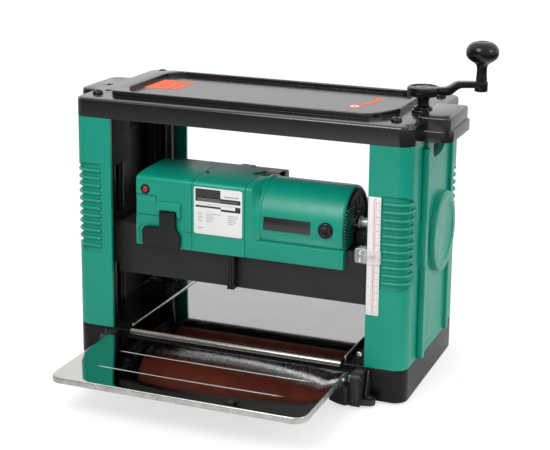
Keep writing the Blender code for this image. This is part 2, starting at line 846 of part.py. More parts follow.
def switch_housing():
    housing = prism("switch_housing", green, [BOX_SECTION], -155, SEAM_X - GAP, "yz")
    fuse(housing, box("paddle_hood", TOOL, (-124, -87), (-134.5, -128), (246, 258)))
    cut(
        housing,
        box("switch_room", TOOL, (-151, 11), ROOM_Y, (218, ROOM_TOP)),
        box("switch_room_floor", TOOL, (-150, 10), (-111, -37), (210, 220)),
        rod("reset_hole", TOOL, (RESET_X, HOLE_Y, RESET_Z), 5.6, 20, "y"),
    )
    return housing


def motor_shell():
    shell = prism("motor_shell", green, [round_section()], 30, 165, "yz")
    fuse(shell, prism("motor_shell_block", TOOL, [BOX_SECTION], SEAM_X, 36, "yz"))
    cut(
        shell,
        rod("motor_room", TOOL, (90.5, SHELL_Y, SHELL_Z), SHELL_R - 4, 141, "x"),
        rod("shaft_outlet", TOOL, (165, MOTOR_Y, MOTOR_Z), 9, 30, "x"),
        rod("brush_hole", TOOL, (BRUSH_X, HOLE_Y, BRUSH_Z), BRUSH_R + GAP, 20, "y"),
        box("block_room", TOOL, (18, 32), ROOM_Y, (210, ROOM_TOP)),
    )
    return shell


def brush_cap():
    profile = [(0, 10), (9.8, 10), (BRUSH_R, 9), (BRUSH_R, 0), (0, 0)]
    return turned("brush_cap", black, profile, (BRUSH_X, FACE_Y + 7, BRUSH_Z), "-y", 20)


def build_reset_button():
    profile = [(0, 12.0), (2.6, 11.5), (4.4, 10.2), (5.2, 8.4), (5.2, 0), (0, 0)]
    at = (RESET_X, FACE_Y + 8.5, RESET_Z)
    hang(
        "reset_axis", (RESET_X, FACE_Y, RESET_Z),
        turned("reset_button", red, profile, at, "-y", 16),
    )


def build_paddle():
    outline = [  # (x, z)
        (-150, 190.5), (-87, 190.5), (-86, 212), (-93.5, 221.5), (-93.5, 245),
        (-118.5, 245), (-118.5, 221.5), (-146, 221), (-151, 214),
    ]
    hang(
        "paddle_axis", (-106, -134.5, 243),
        prism("paddle_switch", black, [outline], -138.0, -131.0, "xz"),
    )


def rear_motor_cover():
    cover = box(
        "rear_motor_cover", black, (-150, 37), (-31.5, -12), (CARR_DECK, 297),
        radius=3, along="x", segments=2,
    )
    shell_at = (39.5, SHELL_Y, SHELL_Z)
    cut(
        cover,
        box("rear_cover_room", TOOL, (-147, 25), (-40, -15), (212, 294)),
        rod("rear_cover_shell_room", TOOL, shell_at, SHELL_R + 1, 20.4, "x", 48),
    )
    return cover


def dust_hood():
    half_width, front, rear, top = 165, 20, 122, 230
    wall = 3.5
    spout_x, spout_z = -92, 237
    hood = box(
        "dust_hood", black, (-half_width, half_width), (front, rear), (CARR_DECK, top),
        radius=5, along="x", segments=3,
    )
    fuse(hood, rod("dust_spout", TOOL, (spout_x, 121, spout_z), 20.5, 34, "y", 24))
    cut(
        hood,
        box(
            "dust_room", TOOL,
            (-half_width + wall, half_width - wall), (front + wall, rear - wall),
            (210, top - wall),
        ),
        rod("dust_bore", TOOL, (spout_x, 131, spout_z), 17.5, 48, "y", 24),
    )
    return hood


def build_carriage():
    """The fixed pieces of the carriage hang together on the lift axis."""
    hang(
        "lift_axis", (0, 0, CARR_LOW),
        carriage_casting(),
        feed_chain(),
        drive_belt(),
        motor_stator(),
        *[cutter_bearing(side, sign) for side, sign in SIDES],
        switch_housing(),
        motor_shell(),
        brush_cap(),
        rear_motor_cover(),
        dust_hood(),
        depth_gauge_bar(),
        scale_cursor(),
    )
    build_roller("infeed", -ROLL_Y)
    build_roller("outfeed", ROLL_Y)
    build_cutterhead()
    build_armature()
    build_reset_button()
    build_paddle()


# ========================================================== folding tables
def build_table(name, end, sign):
    """A tray-shaped sheet table with a hinge lug at each side."""
    wall, corner = 1.8, 18
    table = box(
        name, mirror,
        (-TABLE_X, TABLE_X),
        mirrored(sign, TABLE_NEAR - 20, TABLE_FAR),
        (TABLE_TOP - TABLE_SKIRT, TABLE_TOP),
        corner, segments=5, top=2.2,
    )
    cut(
        table,
        box(
            f"{name}_hollow", TOOL,
            (-TABLE_X + wall, TABLE_X - wall),
            mirrored(sign, TABLE_NEAR - 40, TABLE_FAR - wall),
            (20, TABLE_TOP - 2.0),
            corner - wall, segments=5,
        ),
        box(
            f"{name}_trim", TOOL,
            (-200, 200), mirrored(sign, TABLE_NEAR - 60, TABLE_NEAR), (10, 80),
        ),
    )
    lug_radius, lug_top = 8, TABLE_TOP - 1.2
    lug = [  # (y for the rear table, z)
        (TABLE_NEAR - 1, PIVOT_Z - lug_radius), (TABLE_NEAR + 40, TABLE_TOP - 9),
        (TABLE_NEAR + 40, lug_top), (TABLE_NEAR + 1.5, lug_top),
        (TABLE_NEAR + 1.5, TABLE_TOP - 3.0), (PIVOT_Y, PIVOT_Z + lug_radius),
    ] + arc((PIVOT_Y, PIVOT_Z), lug_radius, 105, 270, 8)
    lug = [(sign * y, z) for y, z in lug]
    for side, side_sign in SIDES:
        low, high = side_sign * (TABLE_X - 12), side_sign * (TABLE_X - 1.2)
        fuse(table, prism(f"{name}_lug_{side}", TOOL, [lug], low, high, "yz"))
    pivot = (0, sign * PIVOT_Y, PIVOT_Z)
    cut(table, rod(f"{name}_bore", TOOL, pivot, PIVOT_R + GAP, 420, "x", 16))
    hang(f"{end}_hinge_axis", pivot, table)


def build_hinge_rod(end, sign):
    at = (0, sign * PIVOT_Y, PIVOT_Z)
    rod(f"{end}_hinge_rod", steel, at, PIVOT_R, 414, "x", 16)


def build_bracket(end, end_sign, side, side_sign):
    """Holds one end of a hinge rod; a flat ear with a hole sticks out at its foot."""
    low, top = 4, 50
    outline = (  # (y for the rear, z)
        [(BODY_Y + GAP, low), (BODY_Y + GAP, top), (PIVOT_Y - 10, top)]
        + arc((PIVOT_Y, PIVOT_Z), 9.5, 75, -30, 7)
        + [(PIVOT_Y + 6, low)]
    )
    outline = [(end_sign * y, z) for y, z in outline]
    bracket = prism(
        f"{end}_{side}_bracket", cast, [outline], side_sign * 190.5, side_sign * 205.5, "yz"
    )
    ear = [(side_sign * x, end_sign * y) for x, y in loop((182, 149), 13, (214, 146), 9, 7)]
    fuse(bracket, prism(f"{end}_{side}_ear", TOOL, [ear], 3.5, 12))
    bore_at = (side_sign * 198, end_sign * PIVOT_Y, PIVOT_Z)
    hole_at = (side_sign * 180, end_sign * 149, 8)
    cut(
        bracket,
        rod(f"{end}_{side}_bracket_bore", TOOL, bore_at, PIVOT_R + GAP, 30, "x", 16),
        rod(f"{end}_{side}_ear_hole", TOOL, hole_at, 4.5, 20, "z", 12),
    )


# ================================================================ assembly
build_base()
build_feet()
build_bed()
for side, sign in SIDES:
    build_housing(side, sign)
    build_side_frame(side, sign)
    build_columns(side, sign)
build_depth_scale()
build_cover()
build_cover_bolts()
build_lift_drive()
build_carriage()
for name, (end, end_sign) in zip(("infeed_table", "outfeed_table"), ENDS):
    build_table(name, end, end_sign)
    build_hinge_rod(end, end_sign)
    for side, side_sign in SIDES:
        build_bracket(end, end_sign, side, side_sign)

# The layout moves over, so that the origin is under the middle of the machine.
for piece in bpy.data.objects:
    if piece.parent is None:
        piece.matrix_basis = shift((-MACHINE_MIDDLE_X, 0, 0)) @ piece.matrix_basis
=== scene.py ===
"""Portable bench-top thickness planer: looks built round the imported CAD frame.

The CAD gives every place and every body. The visible shells, the cover, the
crank, the tables and the rollers are rebuilt here at a finer resolution with
their small features; the hidden castings keep their CAD shape and get
procedural finishes.

Blender works in metres; the numbers below are millimetres.
"""

import math  # noqa: E402
import random  # noqa: E402

import bmesh  # noqa: E402
import bpy  # noqa: E402
from mathutils import Matrix, Vector  # noqa: E402


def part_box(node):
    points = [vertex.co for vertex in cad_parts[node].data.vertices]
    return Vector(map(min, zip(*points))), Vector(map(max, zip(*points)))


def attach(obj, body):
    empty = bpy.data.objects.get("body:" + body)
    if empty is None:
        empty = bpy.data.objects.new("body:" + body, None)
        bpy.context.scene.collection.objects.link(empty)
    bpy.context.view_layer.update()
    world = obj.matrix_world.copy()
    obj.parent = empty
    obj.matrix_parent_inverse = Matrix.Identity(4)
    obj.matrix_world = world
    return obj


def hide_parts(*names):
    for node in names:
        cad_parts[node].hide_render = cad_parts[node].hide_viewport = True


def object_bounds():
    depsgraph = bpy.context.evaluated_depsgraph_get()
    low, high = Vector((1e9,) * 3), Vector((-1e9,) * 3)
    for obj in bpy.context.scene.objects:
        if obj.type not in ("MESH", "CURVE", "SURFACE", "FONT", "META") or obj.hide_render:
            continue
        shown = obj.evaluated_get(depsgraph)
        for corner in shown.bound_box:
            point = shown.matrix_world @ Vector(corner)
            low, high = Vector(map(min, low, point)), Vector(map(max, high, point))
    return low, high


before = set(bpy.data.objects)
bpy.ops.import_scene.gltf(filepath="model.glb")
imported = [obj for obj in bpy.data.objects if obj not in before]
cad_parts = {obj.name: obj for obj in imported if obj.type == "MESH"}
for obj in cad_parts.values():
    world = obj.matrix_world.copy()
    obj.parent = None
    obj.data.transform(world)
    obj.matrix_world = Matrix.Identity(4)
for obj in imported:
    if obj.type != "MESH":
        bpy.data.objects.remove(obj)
cad_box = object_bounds()
MM = 0.001
random.seed(11)
scene = bpy.context.scene


def span_of(node):
    """A CAD node's box in millimetres: ((x0, x1), (y0, y1), (z0, z1))."""
    low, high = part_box(node)
    return tuple((low[i] / MM, high[i] / MM) for i in range(3))


# ================================================================ materials
def node(tree, kind, inputs=None, **props):
    made = tree.nodes.new("ShaderNode" + kind)
    for key, value in props.items():
        setattr(made, key, value)
    for key, value in (inputs or {}).items():
        socket = made.inputs[key]
        if isinstance(value, bpy.types.NodeSocket):
            tree.links.new(value, socket)
        else:
            socket.default_value = value
    return made


def ramp(tree, value, low, high, out_low=0.0, out_high=1.0):
    return node(
        tree,
        "MapRange",
        {"Value": value, "From Min": low, "From Max": high, "To Min": out_low, "To Max": out_high},
    ).outputs["Result"]


def mix(tree, factor, a, b):
    made = tree.nodes.new("ShaderNodeMix")
    made.data_type = "RGBA"
    for key, value in (("Factor", factor), ("A", a), ("B", b)):
        socket = [s for s in made.inputs if s.name == key and (key == "Factor") == (s.type == "VALUE")]
        socket = [s for s in socket if s.enabled] or socket
        socket = socket[0]
        if isinstance(value, bpy.types.NodeSocket):
            tree.links.new(value, socket)
        else:
            socket.default_value = value
    return [s for s in made.outputs if s.type == "RGBA"][0]


def scaled(colour, by):
    return (*[min(1.0, c * by) for c in colour], 1.0)


def finish_of(
    name,
    colour,
    roughness,
    metallic=0.0,
    grain=1600.0,
    grain_depth=0.00004,
    mottle=0.08,
    mottle_scale=18.0,
    worn=None,
    worn_amount=0.35,
    rough_spread=0.07,
    edge=0.0007,
    brushed=None,
    wave=0.0,
    wave_scale=8.0,
    coat=0.0,
    alpha=1.0,
    transmission=0.0,
    specular=0.5,
    smudge=0.0,
):
    """A moulded, cast, rolled or ground finish: colour drift, grain, smudges and worn edges."""
    mat = bpy.data.materials.new(name)
    mat.use_nodes = True
    tree = mat.node_tree
    tree.nodes.clear()
    out = node(tree, "OutputMaterial")
    place = node(tree, "TexCoord").outputs["Object"]
    drift = node(tree, "TexNoise", {"Vector": place, "Scale": mottle_scale, "Detail": 4.0}).outputs["Fac"]
    patch = node(tree, "TexNoise", {"Vector": place, "Scale": mottle_scale * 5.3, "Detail": 6.0, "Roughness": 0.65}).outputs["Fac"]
    tone = mix(tree, ramp(tree, drift, 0.3, 0.7), scaled(colour, 1 - mottle), scaled(colour, 1 + mottle))
    stretch = place
    if brushed:
        stretch = node(tree, "Mapping", {"Vector": place, "Scale": brushed}).outputs["Vector"]
    fine = node(tree, "TexNoise", {"Vector": stretch, "Scale": grain, "Detail": 3.0, "Roughness": 0.6}).outputs["Fac"]
    rounded_normal = node(tree, "Bevel", {"Radius": edge}, samples=4).outputs["Normal"]
    flat = node(tree, "NewGeometry").outputs["Normal"]
    facing = node(tree, "VectorMath", {0: rounded_normal, 1: flat}, operation="DOT_PRODUCT").outputs["Value"]
    rim = ramp(tree, facing, 0.985, 0.86)
    broken = node(tree, "Math", {0: rim, 1: ramp(tree, patch, 0.38, 0.62)}, operation="MULTIPLY").outputs["Value"]
    worn_by = node(tree, "Math", {0: broken, 1: worn_amount}, operation="MULTIPLY").outputs["Value"]
    worn = worn or tuple(min(1.0, c * 1.5 + 0.03) for c in colour)
    final = mix(tree, worn_by, tone, (*worn, 1.0))
    rough = ramp(tree, patch, 0.3, 0.7, max(0.0, roughness - rough_spread), min(1.0, roughness + rough_spread))
    if smudge:
        touch = node(tree, "TexNoise", {"Vector": place, "Scale": 7.0, "Detail": 5.0, "Distortion": 1.2}).outputs["Fac"]
        rough = node(
            tree, "Math", {0: rough, 1: ramp(tree, touch, 0.5, 0.75, 0.0, smudge)}, operation="ADD"
        ).outputs["Value"]
    normal = node(
        tree, "Bump", {"Strength": 1.0, "Distance": grain_depth, "Height": fine, "Normal": rounded_normal}
    ).outputs["Normal"]
    if wave:
        swell = node(tree, "TexNoise", {"Vector": place, "Scale": wave_scale, "Detail": 1.0}).outputs["Fac"]
        normal = node(
            tree, "Bump", {"Strength": 1.0, "Distance": wave, "Height": swell, "Normal": normal}
        ).outputs["Normal"]
    shader = node(
        tree,
        "BsdfPrincipled",
        {
            "Base Color": final,
            "Roughness": rough,
            "Metallic": metallic,
            "Normal": normal,
            "Coat Weight": coat,
            "Coat Roughness": 0.12,
            "Alpha": alpha,
            "Transmission Weight": transmission,
            "Specular IOR Level": specular,
        },
    )
    tree.links.new(shader.outputs["BSDF"], out.inputs["Surface"])
    return mat


green = finish_of("green_moulded", (0.001, 0.300, 0.204), 0.34, specular=0.42, mottle=0.035, grain=1200, grain_depth=0.000012,
                  worn=(0.10, 0.42, 0.33), worn_amount=0.5, rough_spread=0.05, smudge=0.06)
black = finish_of("black_moulded", (0.0085, 0.008, 0.0075), 0.34, mottle=0.12, grain=1900, grain_depth=0.00004,
                  worn=(0.06, 0.06, 0.058), worn_amount=0.5, smudge=0.05)
cover_black = finish_of("cover_black_moulded", (0.008, 0.0078, 0.0075), 0.165, mottle=0.12, grain=900,
                        grain_depth=0.000003, specular=0.72, worn=(0.05, 0.05, 0.05), worn_amount=0.18, smudge=0.03,
                        rough_spread=0.025)
gloss = finish_of("gloss_black_moulded", (0.0055, 0.0055, 0.0055), 0.17, mottle=0.1, grain=1200, grain_depth=0.000006,
                  worn=(0.05, 0.05, 0.05), worn_amount=0.25, specular=0.36, rough_spread=0.04)
cast = finish_of("black_cast", (0.014, 0.0135, 0.013), 0.46, mottle=0.2, grain=900, grain_depth=0.00014,
                 worn=(0.12, 0.12, 0.12), worn_amount=0.5, specular=0.45)
base_black = finish_of("base_black_cast", (0.0055, 0.0054, 0.0052), 0.27, mottle=0.12, grain=900,
                       grain_depth=0.00003, specular=0.24, worn=(0.05, 0.05, 0.05), worn_amount=0.3,
                       rough_spread=0.035)
powder = finish_of("powder_coated_sheet", (0.011, 0.0105, 0.010), 0.4, mottle=0.15, grain=1400, grain_depth=0.00008,
                   worn=(0.10, 0.10, 0.10))
bed_steel = finish_of("bed_mirror_steel", (0.345, 0.345, 0.35), 0.05, 1.0, mottle=0.04, grain=60,
                      brushed=(0.1, 1.0, 1.0), grain_depth=0.000002, worn=(0.7, 0.7, 0.7), rough_spread=0.025,
                      wave=0.0004, wave_scale=5.0)
tray_steel = finish_of("tray_mirror_steel", (0.57, 0.56, 0.55), 0.035, 1.0, mottle=0.04, grain=60,
                       brushed=(0.1, 1.0, 1.0), grain_depth=0.000002, worn=(0.8, 0.8, 0.8), rough_spread=0.025,
                       wave=0.0005, wave_scale=4.0)
lip_zinc = finish_of("tray_lip_zinc", (0.50, 0.49, 0.47), 0.26, 1.0, mottle=0.18, mottle_scale=70, grain=260,
                     grain_depth=0.00005, worn=(0.85, 0.85, 0.84), rough_spread=0.08)
chrome = finish_of("ground_chrome", (0.46, 0.46, 0.47), 0.07, 1.0, mottle=0.04, grain=260, brushed=(1, 1, 9.0),
                   grain_depth=0.00001, worn=(0.8, 0.8, 0.8), rough_spread=0.05)
steel = finish_of("machined_steel", (0.36, 0.355, 0.35), 0.30, 1.0, mottle=0.14, mottle_scale=60, grain=700,
                  grain_depth=0.00005, worn=(0.6, 0.6, 0.6), rough_spread=0.1)
zinc_bolt = finish_of("zinc_fastener", (0.62, 0.62, 0.60), 0.22, 1.0, mottle=0.12, mottle_scale=120, grain=900,
                      grain_depth=0.00004, worn=(0.75, 0.75, 0.75))
bed_lip = finish_of("rolled_lip_steel", (0.22, 0.205, 0.19), 0.16, 1.0, mottle=0.12, mottle_scale=30, grain=200,
                    brushed=(0.05, 1.0, 1.0), grain_depth=0.000004)
bright_shaft = finish_of("bright_shaft_steel", (0.86, 0.86, 0.87), 0.22, 1.0, mottle=0.05, mottle_scale=60, grain=700,
                         grain_depth=0.00001)
sleeve_steel = finish_of("satin_sleeve_steel", (0.86, 0.86, 0.87), 0.34, 0.45, mottle=0.05, mottle_scale=60,
                         grain=700, grain_depth=0.00001)
blued = finish_of("knife_steel", (0.55, 0.56, 0.58), 0.2, 1.0, mottle=0.06, grain=500, brushed=(0.1, 6, 6),
                  grain_depth=0.00003)
alu = finish_of("turned_aluminium", (0.68, 0.68, 0.69), 0.28, 1.0, mottle=0.06, grain=420, brushed=(9.0, 0.3, 0.3),
                grain_depth=0.000008, rough_spread=0.06)
copper = finish_of("varnished_windings", (0.42, 0.15, 0.05), 0.35, 0.7, mottle=0.2, mottle_scale=90, grain=520,
                   brushed=(9.0, 1.0, 1.0), grain_depth=0.0004, coat=0.4)
rubber = finish_of("black_rubber", (0.014, 0.014, 0.014), 0.72, mottle=0.2, grain=1300, grain_depth=0.00012,
                   worn=(0.05, 0.05, 0.05))
red_rubber = finish_of("red_brown_rubber", (0.42, 0.075, 0.035), 0.55, mottle=0.16, mottle_scale=35, grain=900,
                       grain_depth=0.00012, worn=(0.24, 0.07, 0.045))
paper = finish_of("printed_scale", (0.93, 0.92, 0.91), 0.42, mottle=0.03, grain=2500, grain_depth=0.00001,
                  worn=(0.7, 0.69, 0.68))
label = finish_of("label_film", (0.84, 0.84, 0.83), 0.38, mottle=0.025, grain=2500, grain_depth=0.00001,
                  worn=(0.72, 0.72, 0.71), coat=0.15)
grey_ink = finish_of("grey_ink", (0.28, 0.28, 0.28), 0.45, mottle=0.15, mottle_scale=260, grain=2600, grain_depth=0.0)
dark_ink = finish_of("dark_ink", (0.022, 0.022, 0.022), 0.42, mottle=0.2, mottle_scale=200, grain=2600, grain_depth=0.0)
red_ink = finish_of("red_ink", (0.70, 0.13, 0.13), 0.45, mottle=0.1, mottle_scale=200, grain=2600, grain_depth=0.0)
orange = finish_of("orange_film", (0.80, 0.115, 0.035), 0.5, mottle=0.06, mottle_scale=90, grain=2000,
                   grain_depth=0.00001, specular=0.25)
oiled = finish_of("oiled_thread_steel", (0.06, 0.058, 0.055), 0.32, 1.0, mottle=0.2, mottle_scale=60, grain=700,
                  grain_depth=0.00005, worn=(0.2, 0.2, 0.2))
plate_black = finish_of("satin_black_plate", (0.018, 0.0185, 0.019), 0.24, mottle=0.1, grain=1500,
                        grain_depth=0.00002, coat=0.2)
red = finish_of("red_moulded", (0.30, 0.006, 0.012), 0.22, mottle=0.08, grain=900, grain_depth=0.00001, coat=0.4,
                worn=(0.5, 0.08, 0.08))
# painted shade: a near-black matt finish for the sheets and slits that stand in for shade in gaps and inside the
# housings
shadow_black = finish_of("painted_shade_black", (0.0025, 0.0025, 0.0025), 0.7, mottle=0.3, grain=900, grain_depth=0.00002,
                         worn=(0.01, 0.01, 0.01))
clear = finish_of("clear_moulded", (0.93, 0.95, 0.95), 0.06, mottle=0.01, grain=800, grain_depth=0.000004,
                  worn=(1.0, 1.0, 1.0), worn_amount=0.6, alpha=0.27, coat=0.8, edge=0.0004)

# ================================================================== helpers
TURN = {
    "x": Matrix.Rotation(math.radians(90), 4, "Y"),
    "y": Matrix.Rotation(math.radians(-90), 4, "X"),
    "z": Matrix.Identity(4),
}
PLANES = {
    "xy": Matrix(((1, 0, 0, 0), (0, 1, 0, 0), (0, 0, 1, 0), (0, 0, 0, 1))),
    "yz": Matrix(((0, 0, 1, 0), (1, 0, 0, 0), (0, 1, 0, 0), (0, 0, 0, 1))),
    "xz": Matrix(((1, 0, 0, 0), (0, 0, -1, 0), (0, 1, 0, 0), (0, 0, 0, 1))),
}


def arc(centre, radius, start, end, count):
    return [
        (
            centre[0] + radius * math.cos(math.radians(a)),
            centre[1] + radius * math.sin(math.radians(a)),
        )
        for a in (start + (end - start) * i / count for i in range(count + 1))
    ]


def circle(centre, radius, count=48):
    return arc(centre, radius, 0, 360, count)[:-1]


def rounded(x, y, radius, count=6):
    return (
        arc((x[1] - radius, y[0] + radius), radius, -90, 0, count)
        + arc((x[1] - radius, y[1] - radius), radius, 0, 90, count)
        + arc((x[0] + radius, y[1] - radius), radius, 90, 180, count)
        + arc((x[0] + radius, y[0] + radius), radius, 180, 270, count)
    )


def softened(points, radius, count=5):
    """The outline with its corners rounded off."""
    out = []
    n = len(points)
    for i, p in enumerate(points):
        p = Vector(p)
        a, b = Vector(points[i - 1]), Vector(points[(i + 1) % n])
        ta, tb = (a - p), (b - p)
        reach = min(radius, ta.length * 0.45, tb.length * 0.45)
        s, e = p + ta.normalized() * reach, p + tb.normalized() * reach
        for k in range(count + 1):
            t = k / count
            q = s * (1 - t) ** 2 + p * (2 * t * (1 - t)) + e * t**2
            out.append((q.x, q.y))
    return out


def made(name, bm, mat=None, smooth=38):
    """Turns a bmesh into an object."""
    bmesh.ops.recalc_face_normals(bm, faces=bm.faces)
    mesh = bpy.data.meshes.new(name)
    bm.to_mesh(mesh)
    bm.free()
    obj = bpy.data.objects.new(name, mesh)
    scene.collection.objects.link(obj)
    if mat is not None:
        mesh.materials.append(mat)
    mesh.shade_smooth()
    mesh.set_sharp_from_angle(angle=math.radians(smooth))
    return obj


def add_block(bm, x, y, z, big=0.0, along="z", small=0.0, big_steps=10, small_steps=3, place=None):
    """A block: the four edges along one axis get a big radius, all the rest a small one."""
    centre = Vector([(a + b) / 2 * MM for a, b in (x, y, z)])
    size = [(b - a) * MM for a, b in (x, y, z)]
    before = set(bm.verts)
    bmesh.ops.create_cube(bm, size=1.0, matrix=Matrix.Translation(centre) @ Matrix.Diagonal((*size, 1.0)))
    axis = "xyz".index(along)
    fresh = [v for v in bm.verts if v not in before]
    if big:
        edges = {
            e
            for v in fresh
            for e in v.link_edges
            if abs((e.verts[0].co - e.verts[1].co)[axis]) > size[axis] * 0.99
        }
        bmesh.ops.bevel(bm, geom=list(edges), offset=big * MM, segments=big_steps, profile=0.5, affect="EDGES")
    if small:
        bm.normal_update()
        edges = {
            e
            for v in bm.verts
            if v not in before
            for e in v.link_edges
            if len(e.link_faces) == 2 and e.calc_face_angle(0) > math.radians(50)
        }
        bmesh.ops.bevel(
            bm, geom=list(edges), offset=small * MM, segments=small_steps, profile=0.5, affect="EDGES",
            clamp_overlap=True,
        )
    if place is not None:
        bmesh.ops.transform(bm, matrix=place, verts=[v for v in bm.verts if v not in before])


def block(name, mat, x, y, z, big=0.0, along="z", small=0.0, **more):
    bm = bmesh.new()
    add_block(bm, x, y, z, big, along, small, **more)
    return made(name, bm, mat)


def add_lathe(bm, profile, at=(0, 0, 0), along="z", steps=64, place=None, start=0.0):
    """A turned body: profile points are (radius, height), from one end of the outside to the other."""
    rings = []
    for k, (r, h) in enumerate(profile):
        if k and k == len(profile) - 1 and (r, h) == profile[0] and r > 1e-6:
            rings.append(rings[0])
        elif r <= 1e-6:
            rings.append([bm.verts.new((0, 0, h * MM))])
        else:
            rings.append(
                [
                    bm.verts.new(
                        (
                            r * MM * math.cos(2 * math.pi * (i + start) / steps),
                            r * MM * math.sin(2 * math.pi * (i + start) / steps),
                            h * MM,
                        )
                    )
                    for i in range(steps)
                ]
            )
    for a, b in zip(rings, rings[1:]):
        if len(a) == 1 and len(b) == 1:
            continue
        for i in range(steps):
            j = (i + 1) % steps
            if len(a) == 1:
                bm.faces.new((a[0], b[i], b[j]))
            elif len(b) == 1:
                bm.faces.new((a[i], a[j], b[0]))
            else:
                bm.faces.new((a[i], a[j], b[j], b[i]))
    moved = Matrix.Translation(Vector([v * MM for v in at])) @ TURN[along]
    if place is not None:
        moved = place @ moved
    every = [v for k, ring in enumerate(rings) if k == 0 or ring is not rings[0] for v in ring]
    bmesh.ops.transform(bm, matrix=moved, verts=every)


def lathe(name, mat, profile, at=(0, 0, 0), along="z", steps=64, place=None):
    bm = bmesh.new()
    add_lathe(bm, profile, at, along, steps, place)
    return made(name, bm, mat)


def fillet(r, h0, h1, edge=0.6, steps=3, bore=0.0):
    """A turned cylinder's profile with rounded rims, top to bottom."""
    top = [(r - edge + edge * math.sin(math.radians(a)), h1 - edge + edge * math.cos(math.radians(a)))
           for a in [90 * i / steps for i in range(steps + 1)]]
    low = [(r - edge + edge * math.sin(math.radians(a)), h0 + edge + edge * math.cos(math.radians(a)))
           for a in [90 + 90 * i / steps for i in range(steps + 1)]]
    inner = [(bore, h1)] if bore else [(0, h1)]
    outer = [(bore, h0)] if bore else [(0, h0)]
    closed = inner + top + low + outer
    return closed + [inner[0]] if bore else closed


def prism(name, mat, outlines, low, high, plane="xy", edge=0.0, place=None, edge_steps=2, smooth=38):
    """A flat outline, with holes if there are more than one, swept between two levels; edge rounds its rims."""
    curve = bpy.data.curves.new(name, "CURVE")
    curve.dimensions = "2D"
    curve.fill_mode = "BOTH"
    depth = abs(high - low) / 2
    if edge:
        curve.extrude = (depth - edge) * MM
        curve.bevel_depth = edge * MM
        curve.bevel_resolution = edge_steps
        curve.offset = -edge * MM
    else:
        curve.extrude = depth * MM
    for points in outlines:
        spline = curve.splines.new("POLY")
        spline.points.add(len(points) - 1)
        for point, (u, v) in zip(spline.points, points):
            point.co = (u * MM, v * MM, 0.0, 1.0)
        spline.use_cyclic_u = True
    guide = bpy.data.objects.new(name + "_outline", curve)
    scene.collection.objects.link(guide)
    bpy.context.view_layer.update()
    graph = bpy.context.evaluated_depsgraph_get()
    mesh = bpy.data.meshes.new_from_object(guide.evaluated_get(graph))
    bpy.data.objects.remove(guide, do_unlink=True)
    middle = (low + high) / 2 * MM
    shift = {"xy": (0, 0, middle), "yz": (middle, 0, 0), "xz": (0, middle, 0)}[plane]
    moved = Matrix.Translation(shift) @ PLANES[plane]
    mesh.transform(moved if place is None else place @ moved)
    bm = bmesh.new()
    bm.from_mesh(mesh)
    bpy.data.meshes.remove(mesh)
    bmesh.ops.remove_doubles(bm, verts=bm.verts, dist=1e-6)
    bmesh.ops.dissolve_limit(bm, angle_limit=math.radians(0.3), verts=bm.verts, edges=bm.edges)
    return made(name, bm, mat, smooth)


def joined(name, *objs):
    """One object out of several separate closed bodies."""
    bm = bmesh.new()
    slots = []
    for o in objs:
        offset = {}
        for i, m in enumerate(o.data.materials):
            if m not in slots:
                slots.append(m)
            offset[i] = slots.index(m)
        before = len(bm.faces)
        mesh = o.data.copy()
        mesh.transform(o.matrix_world)
        bm.from_mesh(mesh)
        bm.faces.ensure_lookup_table()
        for f in bm.faces[before:]:
            f.material_index = offset.get(f.material_index, 0)
        bpy.data.meshes.remove(mesh)
        bpy.data.objects.remove(o, do_unlink=True)
    obj = made(name, bm, None)
    for m in slots:
        obj.data.materials.append(m)
    return obj


NUDGES = ((0, 0, 0), (0.011, 0.007, 0.013), (-0.023, -0.017, -0.029), (0.041, 0.037, 0.043), (-0.07, -0.06, -0.05))


def amount(mesh):
    """The volume of a closed mesh."""
    bm = bmesh.new()
    bm.from_mesh(mesh)
    volume = abs(bm.calc_volume(signed=True))
    bm.free()
    return volume


def shaped(obj, cuts=(), adds=(), smooth=38, tidy=True):
    """Applies boolean adds and then cuts, and drops the tools."""
    mats = [m for m in obj.data.materials]
    for operation, tools in (("UNION", adds), ("DIFFERENCE", cuts)):
        for tool in tools:
            before, by = amount(obj.data), amount(tool.data)
            for nudge in NUDGES:
                tool.location = tool.location + Vector(nudge) * MM
                step = obj.modifiers.new("step", "BOOLEAN")
                step.operation = operation
                step.solver = "EXACT"
                step.object = tool
                bpy.context.view_layer.update()
                graph = bpy.context.evaluated_depsgraph_get()
                mesh = bpy.data.meshes.new_from_object(obj.evaluated_get(graph))
                obj.modifiers.clear()
                after = amount(mesh)
                if operation == "UNION":
                    sound = max(before, by) * 0.995 <= after <= (before + by) * 1.005
                else:
                    sound = (before - by) * 0.995 - 1e-9 <= after <= before * 1.001
                if sound and after > 0:
                    obj.data = mesh
                    break
                print("boolean tried again:", obj.name, operation, before, by, after)
                bpy.data.meshes.remove(mesh)
            else:
                print("boolean left out:", obj.name, operation)
    mesh = obj.data
    bm = bmesh.new()
    bm.from_mesh(mesh)
    bmesh.ops.remove_doubles(bm, verts=bm.verts, dist=2e-6)
    if tidy:
        bmesh.ops.dissolve_limit(bm, angle_limit=math.radians(0.2), verts=bm.verts, edges=bm.edges)
    slits = [e for e in bm.edges if len(e.link_faces) == 1]
    if slits:
        bmesh.ops.holes_fill(bm, edges=slits, sides=12)
    for f in bm.faces:
        f.material_index = 0
    bm.to_mesh(mesh)
    bm.free()
    obj.data = mesh
    mesh.materials.clear()
    for m in mats[:1]:
        mesh.materials.append(m)
    mesh.shade_smooth()
    mesh.set_sharp_from_angle(angle=math.radians(smooth))
    for tool in list(adds) + list(cuts):
        bpy.data.objects.remove(tool, do_unlink=True)
    return obj


def put(obj, body, *nodes):
    """The piece rides on a body and stands for the nodes named."""
    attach(obj, body)
    if nodes:
        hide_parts(*nodes)
    return obj


